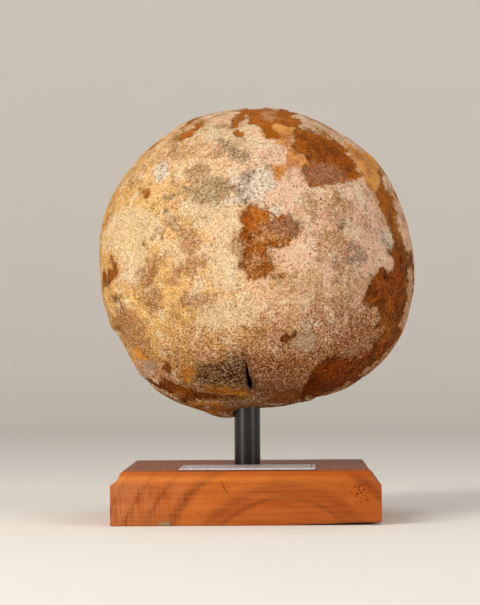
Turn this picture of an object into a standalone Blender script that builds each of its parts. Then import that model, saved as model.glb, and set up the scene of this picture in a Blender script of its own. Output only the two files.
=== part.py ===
"""Fossil mammoth femoral head, carried on a round steel rod that stands in a moulded wooden plinth.

Run it with: blender --background --python part.py. Units are metres, +Z is up, and the front is -Y.
The origin is the centre of the plinth's underside. The head is a loose, unfused ball of bone: its
domed joint surface faces the front, and the knobbly growth plate that joined it to the shaft faces
the back. Points on the head are worked out from its own centre, with x to the right as seen from the
front, y to the back and z up.
"""

import math

import bmesh
import bpy
import numpy as np

MM = 0.001
FIT_GAP = 0.3 * MM  # between faces that touch on the real object

# The plinth: a square block, with a moulded upper edge.
PLINTH_WIDTH = 127 * MM
PLINTH_HEIGHT = 25.4 * MM
MOULDING = (  # (distance in from the side, height) up the edge: arris, cove, then a steep rounded lip
    (0.0 * MM, 18.4 * MM),
    (0.5 * MM, 19.3 * MM),
    (1.6 * MM, 20.0 * MM),
    (2.8 * MM, 20.9 * MM),
    (3.6 * MM, 22.0 * MM),
    (4.1 * MM, 23.3 * MM),
    (4.6 * MM, 24.5 * MM),
    (5.4 * MM, 25.4 * MM),
)
TWIST_LIFT = 1.5 * MM  # the front right corner stands this far off the table
TWIST_START = (12 * MM, -6 * MM)  # the underside begins to rise to the right of, and in front of, this

# The rod: half-inch round bar, upright through the middle of the plinth.
ROD_RADIUS = 6.35 * MM
ROD_SEGMENTS = 48
ROD_CHAMFER = 0.7 * MM
ROD_DEPTH_IN_PLINTH = 15 * MM
ROD_TOP = 96 * MM

# The label: a stiff card that lies on the plinth in front of the rod.
LABEL_SIZE = (64.0 * MM, 38.0 * MM, 0.8 * MM)
LABEL_CENTRE = (1.0 * MM, -38.4 * MM)
LABEL_TURN = math.radians(-0.8)

# The head: the outline of the ball as seen from the front, by angle from its right-hand side.
HEAD_CENTRE = np.array((4.9, 7.0, 125.8)) * MM
HEAD_OUTLINE = (  # (degrees, radius in mm)
    (0, 77.6),
    (20, 76.4),
    (40, 76.9),
    (60, 75.6),
    (78, 76.2),
    (100, 75.7),
    (117, 77.2),
    (126, 76.6),
    (140, 77.3),
    (165, 78.2),
    (181, 77.3),
    (195, 78.0),
    (208, 77.4),
    (222, 79.1),
    (238, 78.9),
    (247, 77.5),
    (256, 77.5),
    (262, 76.7),
    (271, 71.6),
    (281, 71.3),
    (292, 73.2),
    (305, 76.7),
    (322, 79.4),
    (340, 79.8),
)
HEAD_MEAN = 77.2 * MM
DOME_FLATTENING = 0.035  # how much nearer the dome's crown is than its sides, as a share
SHOULDER = (math.radians(25), math.radians(78))  # from crown to side, where the outline takes over

# The back of the head: the growth plate, a dished face covered in low mounds.
BACK_DEPTH = 37 * MM  # behind the head's centre
BACK_BLEND = 7 * MM  # how far the broken rim is rounded over
DISH_DEPTH = 5.5 * MM
DISH_RADIUS = 60 * MM
MOUNDS = 84
MOUND_SPACING = 7.4 * MM  # times the square root of a mound's number is its distance out
MOUND_RADIUS = 8.8 * MM
MOUND_HEIGHT = 2.6 * MM
MOUND_UNEVENNESS = 0.35  # how much the mounds differ in height, as a share
GOLDEN_ANGLE = math.pi * (3 - math.sqrt(5))

# The underside: a rough break that slopes down to the rod, below a crease in the dome.
BREAK_HEIGHT = -71.5 * MM  # at the rod
BREAK_Y = -10 * MM
BREAK_SLOPE = 0.234
BREAK_BLEND = 2.5 * MM
CREASE = (  # (x, z) in mm down the lower left and under the dome, as seen from the front
    (-67.0, -34.0),
    (-64.0, -42.0),
    (-60.0, -49.0),
    (-49.0, -57.0),
    (-40.0, -62.5),
    (-28.0, -65.6),
    (-16.5, -65.8),
    (-6.9, -65.5),
    (-1.8, -63.5),
    (7.5, -65.2),
    (20.0, -66.2),
)
CREASE_DEPTH = 1.7 * MM
CREASE_WIDTH = 2.6 * MM
LIP_RISE = 1.3 * MM
LIP_WIDTH = 4.0 * MM

# Smaller hollows and swellings: (x, z) seen from the front, radius and height, all in mm.
SWELLINGS = (
    ((-71.0, -7.0), 6.0, -1.6),  # chipped hollow in the left side
    ((-71.5, -14.5), 3.5, 1.2),  # knob at the foot of that hollow
    ((-49.5, -53.5), 5.0, -0.9),  # flaked hollow above the crease
    ((-35.0, -54.5), 3.8, 1.0),  # amber boss
    ((33.0, 45.0), 17.0, -1.1),  # worn hollow, upper right
    ((3.0, 9.5), 13.0, -0.9),  # worn hollow in the middle
    ((-30.0, 33.0), 16.0, -0.8),  # stained hollow, upper left
    ((24.0, -36.5), 6.5, 0.9),  # pale scab, lower right
    ((69.0, -22.0), 10.0, -1.2),  # bare band, right side
    ((49.0, -51.0), 9.0, -1.1),  # bare band, lower right
    ((-18.0, -73.5), 8.0, 1.2),  # lump on the underside, left of the rod
)

# The crack above the rod, as (x, z) in mm seen from the front, and how far it runs in.
CRACK = (
    (-5.4, -47.5),
    (-3.6, -51.0),
    (-3.3, -55.0),
    (-1.9, -58.5),
    (-1.7, -61.0),
    (-3.0, -62.6),
    (-4.3, -60.8),
    (-4.7, -56.5),
    (-5.0, -51.5),
)
CRACK_DEPTH = 7 * MM
CRACK_TAPER = 0.35  # its width at the bottom, as a share of its width at the mouth

# How finely the head is divided, before most of its faces are merged where it is smoothest.
FINE_ROWS = 160
FINE_TURNS = 320
HEAD_FACES = 8600


def clear_scene():
    for obj in list(bpy.data.objects):
        bpy.data.objects.remove(obj)


def material(name, colour, roughness, metallic=0.0):
    made = bpy.data.materials.new(name)
    made.use_nodes = True
    shader = made.node_tree.nodes["Principled BSDF"]
    shader.inputs["Base Color"].default_value = (*colour, 1.0)
    shader.inputs["Roughness"].default_value = roughness
    shader.inputs["Metallic"].default_value = metallic
    return made


def new_object(name, mesh, finish=None):
    made = bpy.data.objects.new(name, mesh)
    bpy.context.scene.collection.objects.link(made)
    if finish is not None:
        mesh.materials.append(finish)
    return made


def cutter(name, mesh):
    """A helper that a Boolean subtracts. It isn't part of the object."""
    made = new_object(name, mesh)
    made.hide_render = True
    made.display_type = "WIRE"
    return made


def subtract(obj, tool):
    cut = obj.modifiers.new("cut_" + tool.name, "BOOLEAN")
    cut.operation = "DIFFERENCE"
    cut.object = tool


def cylinder_mesh(name, radius, bottom, top, chamfer=0.0):
    """An upright round bar on the Z axis, with both ends chamfered."""
    rings = [(radius, bottom), (radius, top)]
    if chamfer:
        rings = [
            (radius - chamfer, bottom),
            (radius, bottom + chamfer),
            (radius, top - chamfer),
            (radius - chamfer, top),
        ]
    shape = bmesh.new()
    made = []
    for ring_radius, height in rings:
        corners = []
        for step in range(ROD_SEGMENTS):
            turn = 2 * math.pi * step / ROD_SEGMENTS
            corners.append(shape.verts.new((ring_radius * math.cos(turn), ring_radius * math.sin(turn), height)))
        made.append(corners)
    for low, high in zip(made, made[1:]):
        for step in range(ROD_SEGMENTS):
            after = (step + 1) % ROD_SEGMENTS
            shape.faces.new((low[step], low[after], high[after], high[step]))
    shape.faces.new(list(reversed(made[0])))
    shape.faces.new(made[-1])
    mesh = bpy.data.meshes.new(name)
    shape.to_mesh(mesh)
    shape.free()
    return mesh


def smoothstep(value, start, end):
    share = np.clip((value - start) / (end - start), 0.0, 1.0)
    return share * share * (3 - 2 * share)


def smooth_min(first, second, width):
    """The smaller of two lengths, rounded over where they cross."""
    mix = np.clip(0.5 + 0.5 * (second - first) / width, 0.0, 1.0)
    return second + (first - second) * mix - width * mix * (1 - mix)


def outline_radius(turn):
    """The head's radius at an angle from its right-hand side, on a curve through HEAD_OUTLINE."""
    degrees = np.array([point[0] for point in HEAD_OUTLINE], float)
    radii = np.array([point[1] for point in HEAD_OUTLINE], float) * MM
    count = len(degrees)
    at = np.degrees(turn) % 360
    index = np.searchsorted(degrees, at, side="right") - 1
    knots = np.concatenate([degrees[-1:] - 360, degrees, degrees[:2] + 360])
    share = (at - knots[index + 1]) / (knots[index + 2] - knots[index + 1])
    before, start, end, after = (radii[(index + shift) % count] for shift in (-1, 0, 1, 2))
    slope_in, slope_out = (end - before) / 2, (after - start) / 2
    squared, cubed = share**2, share**3
    return (
        start * (2 * cubed - 3 * squared + 1)
        + slope_in * (cubed - 2 * squared + share)
        + end * (3 * squared - 2 * cubed)
        + slope_out * (cubed - squared)
    )


def distance_to_line(across, up, line):
    """How far points are from a line through (x, z) points in mm, and whether they lie below it."""
    nearest = np.full(across.shape, np.inf)
    below = np.zeros(across.shape, bool)
    for (x0, z0), (x1, z1) in zip(line, line[1:]):
        ax, az, bx, bz = x0 * MM, z0 * MM, x1 * MM, z1 * MM
        along = ((across - ax) * (bx - ax) + (up - az) * (bz - az)) / ((bx - ax) ** 2 + (bz - az) ** 2)
        along = np.clip(along, 0, 1)
        gap = np.hypot(across - ax - along * (bx - ax), up - az - along * (bz - az))
        side = (bx - ax) * (up - az) - (bz - az) * (across - ax) < 0
        below = np.where(gap < nearest, side, below)
        nearest = np.minimum(gap, nearest)
    return nearest, below


def growth_plate(across, up):
    """How far behind BACK_DEPTH the growth plate stands: a shallow dish, with mounds in a spiral."""
    out = np.hypot(across, up)
    dish = -DISH_DEPTH * np.clip(1 - (out / DISH_RADIUS) ** 2, 0, 1) ** 1.5
    mounds = np.zeros(out.shape)
    for number in range(1, MOUNDS + 1):
        away = MOUND_SPACING * (math.sqrt(number) + 0.15 * math.sin(5 * number))
        turn = number * GOLDEN_ANGLE
        gap = np.hypot(across - away * math.cos(turn), up - away * math.sin(turn))
        tall = MOUND_HEIGHT * (1 - MOUND_UNEVENNESS * (0.5 + 0.5 * math.sin(3 * number)))
        mounds = np.maximum(mounds, tall * (1 - (gap / MOUND_RADIUS) ** 2))
    return dish + mounds


def head_radius(polar, turn):
    """The head's radius in the direction polar away from the crown and turn round from the right."""
    across = np.sin(polar) * np.cos(turn)
    back = -np.cos(polar)
    up = np.sin(polar) * np.sin(turn)

    flattened = HEAD_MEAN * (1 - DOME_FLATTENING * np.cos(polar) ** 2)
    radius = flattened + (outline_radius(turn) - HEAD_MEAN) * smoothstep(polar, *SHOULDER)

    # The break under the dome, which gives way to the outline's lump behind and left of the rod.
    drop = up + BREAK_SLOPE * back
    reach = (BREAK_HEIGHT + BREAK_SLOPE * BREAK_Y) / np.minimum(drop, -1e-3)
    behind = smoothstep(radius * back, -12 * MM, 6 * MM)
    reach = reach + behind * 16 * MM
    radius = np.where(drop < -0.5, smooth_min(radius, reach, BREAK_BLEND), radius)

    front = smoothstep(-back, -0.25, 0.05)
    x, z = radius * across, radius * up
    gap, below = distance_to_line(x, z, CREASE)
    radius = radius - front * CREASE_DEPTH * np.exp(-((gap / CREASE_WIDTH) ** 2))
    radius = radius + front * np.where(below, LIP_RISE * np.exp(-(((gap - LIP_WIDTH) / LIP_WIDTH) ** 2)), 0.0)
    for (seen_x, seen_z), wide, height in SWELLINGS:
        gap = np.hypot(x - seen_x * MM, z - seen_z * MM) / (wide * MM)
        radius = radius + front * height * MM * np.exp(-(gap**2) * 1.6)

    # The growth plate cuts the ball off at the back.
    depth = BACK_DEPTH / np.maximum(back, 1e-3)
    plate = BACK_DEPTH + growth_plate(depth * across, depth * up)
    return np.where(back > 0.2, smooth_min(radius, plate / np.maximum(back, 1e-3), BACK_BLEND), radius)


def head_mesh(name):
    """A fine mesh of the head: rings of points about the front-to-back axis, closed at both ends."""
    rows = np.linspace(0, math.pi, FINE_ROWS + 1)
    turns = np.arange(FINE_TURNS) * 2 * math.pi / FINE_TURNS
    polar, turn = np.meshgrid(rows, turns, indexing="ij")
    radius = head_radius(polar, turn)
    points = radius[..., None] * np.stack(
        [np.sin(polar) * np.cos(turn), -np.cos(polar), np.sin(polar) * np.sin(turn)], axis=-1
    )
    points += HEAD_CENTRE
    crown, plate_middle = points[0, 0], points[-1, 0]
    rings = points[1:-1].reshape(-1, 3)
    last = len(rings) - FINE_TURNS
    faces = []
    for step in range(FINE_TURNS):
        after = (step + 1) % FINE_TURNS
        faces.append((len(rings), step, after))
        faces.append((len(rings) + 1, last + after, last + step))
        for inner in range(0, last, FINE_TURNS):
            outer = inner + FINE_TURNS
            faces.append((inner + step, outer + step, outer + after, inner + after))
    mesh = bpy.data.meshes.new(name)
    mesh.from_pydata([*rings, crown, plate_middle], [], faces)
    return mesh


def crack_mesh(name):
    """A blade that tapers from the outline of the crack's mouth to a narrow floor inside the bone."""
    mouth = np.array(CRACK) * MM
    middle = mouth.mean(axis=0)
    inwards = np.array((-middle[0], 0.0, -middle[1]))
    inwards[1] = math.sqrt(HEAD_MEAN**2 - middle @ middle)
    inwards /= np.linalg.norm(inwards)
    at_surface = -inwards * HEAD_MEAN
    rim = [np.array((x, at_surface[1], z)) for x, z in mouth]
    outside = [HEAD_CENTRE + point - inwards * CRACK_DEPTH for point in rim]
    heart = HEAD_CENTRE + at_surface + inwards * CRACK_DEPTH
    floor = [heart + (point - at_surface) * CRACK_TAPER for point in rim]
    shape = bmesh.new()
    near = [shape.verts.new(point) for point in outside]
    far = [shape.verts.new(point) for point in floor]
    for step in range(len(near)):
        after = (step + 1) % len(near)
        shape.faces.new((near[step], near[after], far[after], far[step]))
    shape.faces.new(near)
    shape.faces.new(far)
    bmesh.ops.triangulate(shape, faces=shape.faces[:])
    bmesh.ops.recalc_face_normals(shape, faces=shape.faces[:])
    mesh = bpy.data.meshes.new(name)
    shape.to_mesh(mesh)
    shape.free()
    return mesh


def underside_point(shape, x, y):
    """A corner of the plinth's underside, lifted towards the front right."""
    half = PLINTH_WIDTH / 2
    start_x, start_y = TWIST_START
    to_right = max(0.0, (x - start_x) / (half - start_x))
    to_front = max(0.0, (y - start_y) / (-half - start_y))
    return shape.verts.new((x, y, TWIST_LIFT * to_right * to_front))


def plinth_mesh(name):
    """The block: a flat underside with one lifted corner, plain sides, the moulding and a flat top."""
    half = PLINTH_WIDTH / 2
    columns = (-half, TWIST_START[0], half)
    lines = (-half, TWIST_START[1], half)
    shape = bmesh.new()
    under = [[underside_point(shape, x, y) for x in columns] for y in lines]
    for row in range(2):
        for column in range(2):
            near, far = under[row], under[row + 1]
            shape.faces.new((near[column], far[column], far[column + 1], near[column + 1]))
    around = [under[0][0], under[0][1], under[0][2], under[1][2], under[2][2], under[2][1], under[2][0], under[1][0]]
    places = [(point.co.x / half, point.co.y / half) for point in around]
    ring = around
    for inset, height in MOULDING:
        wide = half - inset
        above = [shape.verts.new((x * wide, y * wide, height)) for x, y in places]
        for step in range(len(ring)):
            after = (step + 1) % len(ring)
            shape.faces.new((ring[step], ring[after], above[after], above[step]))
        ring = above
    shape.faces.new(ring)
    bmesh.ops.triangulate(shape, faces=shape.faces[:])
    bmesh.ops.recalc_face_normals(shape, faces=shape.faces[:])
    mesh = bpy.data.meshes.new(name)
    shape.to_mesh(mesh)
    shape.free()
    return mesh


def label_mesh(name):
    shape = bmesh.new()
    bmesh.ops.create_cube(shape, size=1.0)
    bmesh.ops.scale(shape, vec=LABEL_SIZE, verts=shape.verts[:])
    mesh = bpy.data.meshes.new(name)
    shape.to_mesh(mesh)
    shape.free()
    return mesh


def build_head():
    bone = material("fossil bone, weathered crust", (0.58, 0.38, 0.20), 0.8)
    head = new_object("femoral_head", head_mesh("femoral_head"), bone)
    merge = head.modifiers.new("merge_smooth_faces", "DECIMATE")
    merge.ratio = HEAD_FACES / (2 * len(head.data.polygons))
    merge.use_collapse_triangulate = True
    socket = cylinder_mesh("head_socket", ROD_RADIUS + FIT_GAP, 30 * MM, ROD_TOP + FIT_GAP)
    subtract(head, cutter("head_socket", socket))
    subtract(head, cutter("head_crack", crack_mesh("head_crack")))
    return head


def build_plinth():
    wood = material("reddish wood, oiled", (0.46, 0.15, 0.045), 0.45)
    plinth = new_object("plinth", plinth_mesh("plinth"), wood)
    floor = PLINTH_HEIGHT - ROD_DEPTH_IN_PLINTH - FIT_GAP
    hole = cylinder_mesh("plinth_hole", ROD_RADIUS + FIT_GAP, floor, PLINTH_HEIGHT + 5 * MM)
    subtract(plinth, cutter("plinth_hole", hole))
    return plinth


def build_rod():
    steel = material("steel, black lacquer", (0.012, 0.012, 0.013), 0.35)
    bottom = PLINTH_HEIGHT - ROD_DEPTH_IN_PLINTH
    rod = new_object("support_rod", cylinder_mesh("support_rod", ROD_RADIUS, bottom, ROD_TOP, ROD_CHAMFER), steel)
    rod.data.shade_smooth()
    rod.data.set_sharp_from_angle(angle=math.radians(30))
    return rod


def build_label():
    card = material("coated card", (0.75, 0.73, 0.74), 0.4)
    label = new_object("label_card", label_mesh("label_card"), card)
    label.location = (*LABEL_CENTRE, PLINTH_HEIGHT + FIT_GAP + LABEL_SIZE[2] / 2)
    label.rotation_euler = (0, 0, LABEL_TURN)
    return label


def main():
    clear_scene()
    build_plinth()
    build_rod()
    build_head()
    build_label()


main()
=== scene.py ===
"""The looks of a fossil mammoth femoral head on its display stand.

Metres, +Z up, front -Y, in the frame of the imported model. Points on the head are worked out from its
own centre, with x to the right as seen from the front, y to the back and z up.
"""

import math

import bmesh
import bpy
import numpy as np
from mathutils import Matrix, Vector, noise


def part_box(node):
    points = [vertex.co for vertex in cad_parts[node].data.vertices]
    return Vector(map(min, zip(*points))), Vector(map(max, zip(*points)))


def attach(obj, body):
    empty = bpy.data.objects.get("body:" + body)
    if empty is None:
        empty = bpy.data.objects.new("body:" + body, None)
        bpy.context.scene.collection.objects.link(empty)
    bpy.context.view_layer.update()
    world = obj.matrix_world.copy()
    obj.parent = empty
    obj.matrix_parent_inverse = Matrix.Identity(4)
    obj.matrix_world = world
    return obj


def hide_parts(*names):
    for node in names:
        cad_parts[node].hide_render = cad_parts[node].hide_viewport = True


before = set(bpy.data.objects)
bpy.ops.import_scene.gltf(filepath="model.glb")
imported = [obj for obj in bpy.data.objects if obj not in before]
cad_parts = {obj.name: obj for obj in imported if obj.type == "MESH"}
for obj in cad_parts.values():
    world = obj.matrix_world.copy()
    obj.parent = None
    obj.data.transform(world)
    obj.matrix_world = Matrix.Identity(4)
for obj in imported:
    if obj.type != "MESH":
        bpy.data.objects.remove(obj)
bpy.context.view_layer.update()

MM = 0.001
SEED = 7

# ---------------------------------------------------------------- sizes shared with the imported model

PLINTH_LOW, PLINTH_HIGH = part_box("plinth")
PLINTH_WIDTH = PLINTH_HIGH.x - PLINTH_LOW.x
PLINTH_HEIGHT = PLINTH_HIGH.z
MOULDING = (  # (distance in from the side, height) in mm up the edge: arris, cove, steep rounded lip
    (0.0, 18.4),
    (0.5, 19.3),
    (1.6, 20.0),
    (2.8, 20.9),
    (3.6, 22.0),
    (4.1, 23.3),
    (4.6, 24.5),
    (5.4, 25.4),
)
TWIST_LIFT = 1.5 * MM  # the front right corner stands this far off the table
TWIST_START = (12 * MM, -6 * MM)  # (x, y) from which the lift grows towards that corner
TWIST_TOP = 18 * MM  # and the height down from which it grows
PLINTH_CORNER = 0.7 * MM  # rounding of its upright edges
TOP_CORNER = 0.5 * MM
TOP_EASE = 0.25 * MM  # how far below the top the moulding's last arris stands
TOP_INSET = 0.3 * MM  # and how far in from it the flat top starts
HOLE_EASE = 0.35 * MM  # chamfer round the rod's hole
FOOT_EASE = 0.4 * MM

ROD_LOW, ROD_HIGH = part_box("support_rod")
ROD_RADIUS = ROD_HIGH.x
FIT_GAP = 0.3 * MM
HOLE_RADIUS = ROD_RADIUS + FIT_GAP

LABEL_SIZE = (64.0 * MM, 38.0 * MM, 0.8 * MM)
LABEL_CENTRE = (1.0 * MM, -38.4 * MM)
LABEL_TURN = math.radians(-0.8)
LABEL_INSET = 1.8 * MM
RULE_SPACING = 6.0 * MM
LABEL_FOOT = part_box("label_card")[0].z

HEAD_CENTRE = np.array((4.9, 7.0, 125.8)) * MM
HEAD_OUTLINE = (  # (degrees from the right-hand side, radius in mm) of the ball as seen from the front
    (0, 77.6), (20, 76.4), (40, 76.9), (60, 75.6), (78, 76.2), (100, 75.7), (117, 77.2), (126, 76.6),
    (140, 77.3), (165, 78.2), (181, 77.3), (195, 78.0), (208, 77.4), (222, 79.1), (238, 78.9), (247, 77.5),
    (256, 77.5), (262, 76.7), (271, 71.6), (281, 71.3), (292, 73.2), (305, 76.7), (322, 79.4), (340, 79.8),
)
HEAD_MEAN = 77.2 * MM
DOME_FLATTENING = 0.035
SHOULDER = (math.radians(25), math.radians(78))
BACK_DEPTH = 37 * MM
BACK_BLEND = 7 * MM
DISH_DEPTH = 5.5 * MM
DISH_RADIUS = 60 * MM
MOUNDS = 84
MOUND_SPACING = 7.4 * MM
MOUND_RADIUS = 8.8 * MM
MOUND_HEIGHT = 2.6 * MM
MOUND_UNEVENNESS = 0.35
MOUND_STRAY = 0.15  # of their spacing, by which they leave the spiral that they stand on
GOLDEN_ANGLE = math.pi * (3 - math.sqrt(5))
BREAK_HEIGHT = -71.5 * MM
BREAK_Y = -10 * MM
BREAK_SLOPE = 0.234
BREAK_BLEND = 2.5 * MM
BREAK_END = (-12 * MM, 6 * MM)  # the break runs out between these places, from front to back
BREAK_RUNOUT = 16 * MM
BREAK_LEAST = 0.5  # a direction has to point down more than this to meet the break
LEAST_SLOPE = 1e-3  # directions nearly level with a plane are taken to meet it this steeply
FRONT_EDGE = (-0.25, 0.05)  # how much a direction points forward where the front's details end and begin
PLATE_START = 0.2  # how much a direction points back where the growth plate may begin
PLATE_RIM = (-4 * MM, 3 * MM)  # over this much of the ball cut away, the plate's colours come in
CREASE = (  # (x, z) in mm, as seen from the front
    (-67.0, -34.0), (-64.0, -42.0), (-60.0, -49.0), (-49.0, -57.0), (-40.0, -62.5), (-28.0, -65.6),
    (-16.5, -65.8), (-6.9, -65.5), (-1.8, -63.5), (7.5, -65.2), (20.0, -66.2),
)
CREASE_DEPTH = 1.7 * MM
CREASE_WIDTH = 2.6 * MM
LIP_RISE = 1.3 * MM
LIP_WIDTH = 4.0 * MM
SWELLINGS = (  # (x, z) seen from the front, radius and height, in mm
    ((-71.0, -7.0), 6.0, -1.6),
    ((-71.5, -14.5), 3.5, 1.2),
    ((-49.5, -53.5), 5.0, -0.9),
    ((-35.0, -54.5), 3.8, 1.0),
    ((33.0, 45.0), 17.0, -1.1),
    ((3.0, 9.5), 13.0, -0.9),
    ((-30.0, 33.0), 16.0, -0.8),
    ((24.0, -36.5), 6.5, 0.9),
    ((69.0, -22.0), 10.0, -1.2),
    ((49.0, -51.0), 9.0, -1.1),
    ((-18.0, -73.5), 8.0, 1.2),
)
SWELLING_FALL = 1.6  # how fast a swelling falls away from its middle
CRACK = (
    (-5.4, -47.5), (-3.6, -51.0), (-3.3, -55.0), (-1.9, -58.5), (-1.7, -61.0), (-3.0, -62.6),
    (-4.3, -60.8), (-4.7, -56.5), (-5.0, -51.5),
)
CRACK_DEPTH = 7 * MM
CRACK_TAPER = 0.6
CRACK_CLEARANCE = 12 * MM  # the blade that cuts the crack stands this far out of the bone
SOCKET_START = 30 * MM  # the tool that cuts the rod's socket starts at this height, clear of the bone
SHADED_DEPTHS = (1.2 * MM, 4 * MM)  # depth below the surface from which painted shade darkens the bone, and where it is dark
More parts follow.
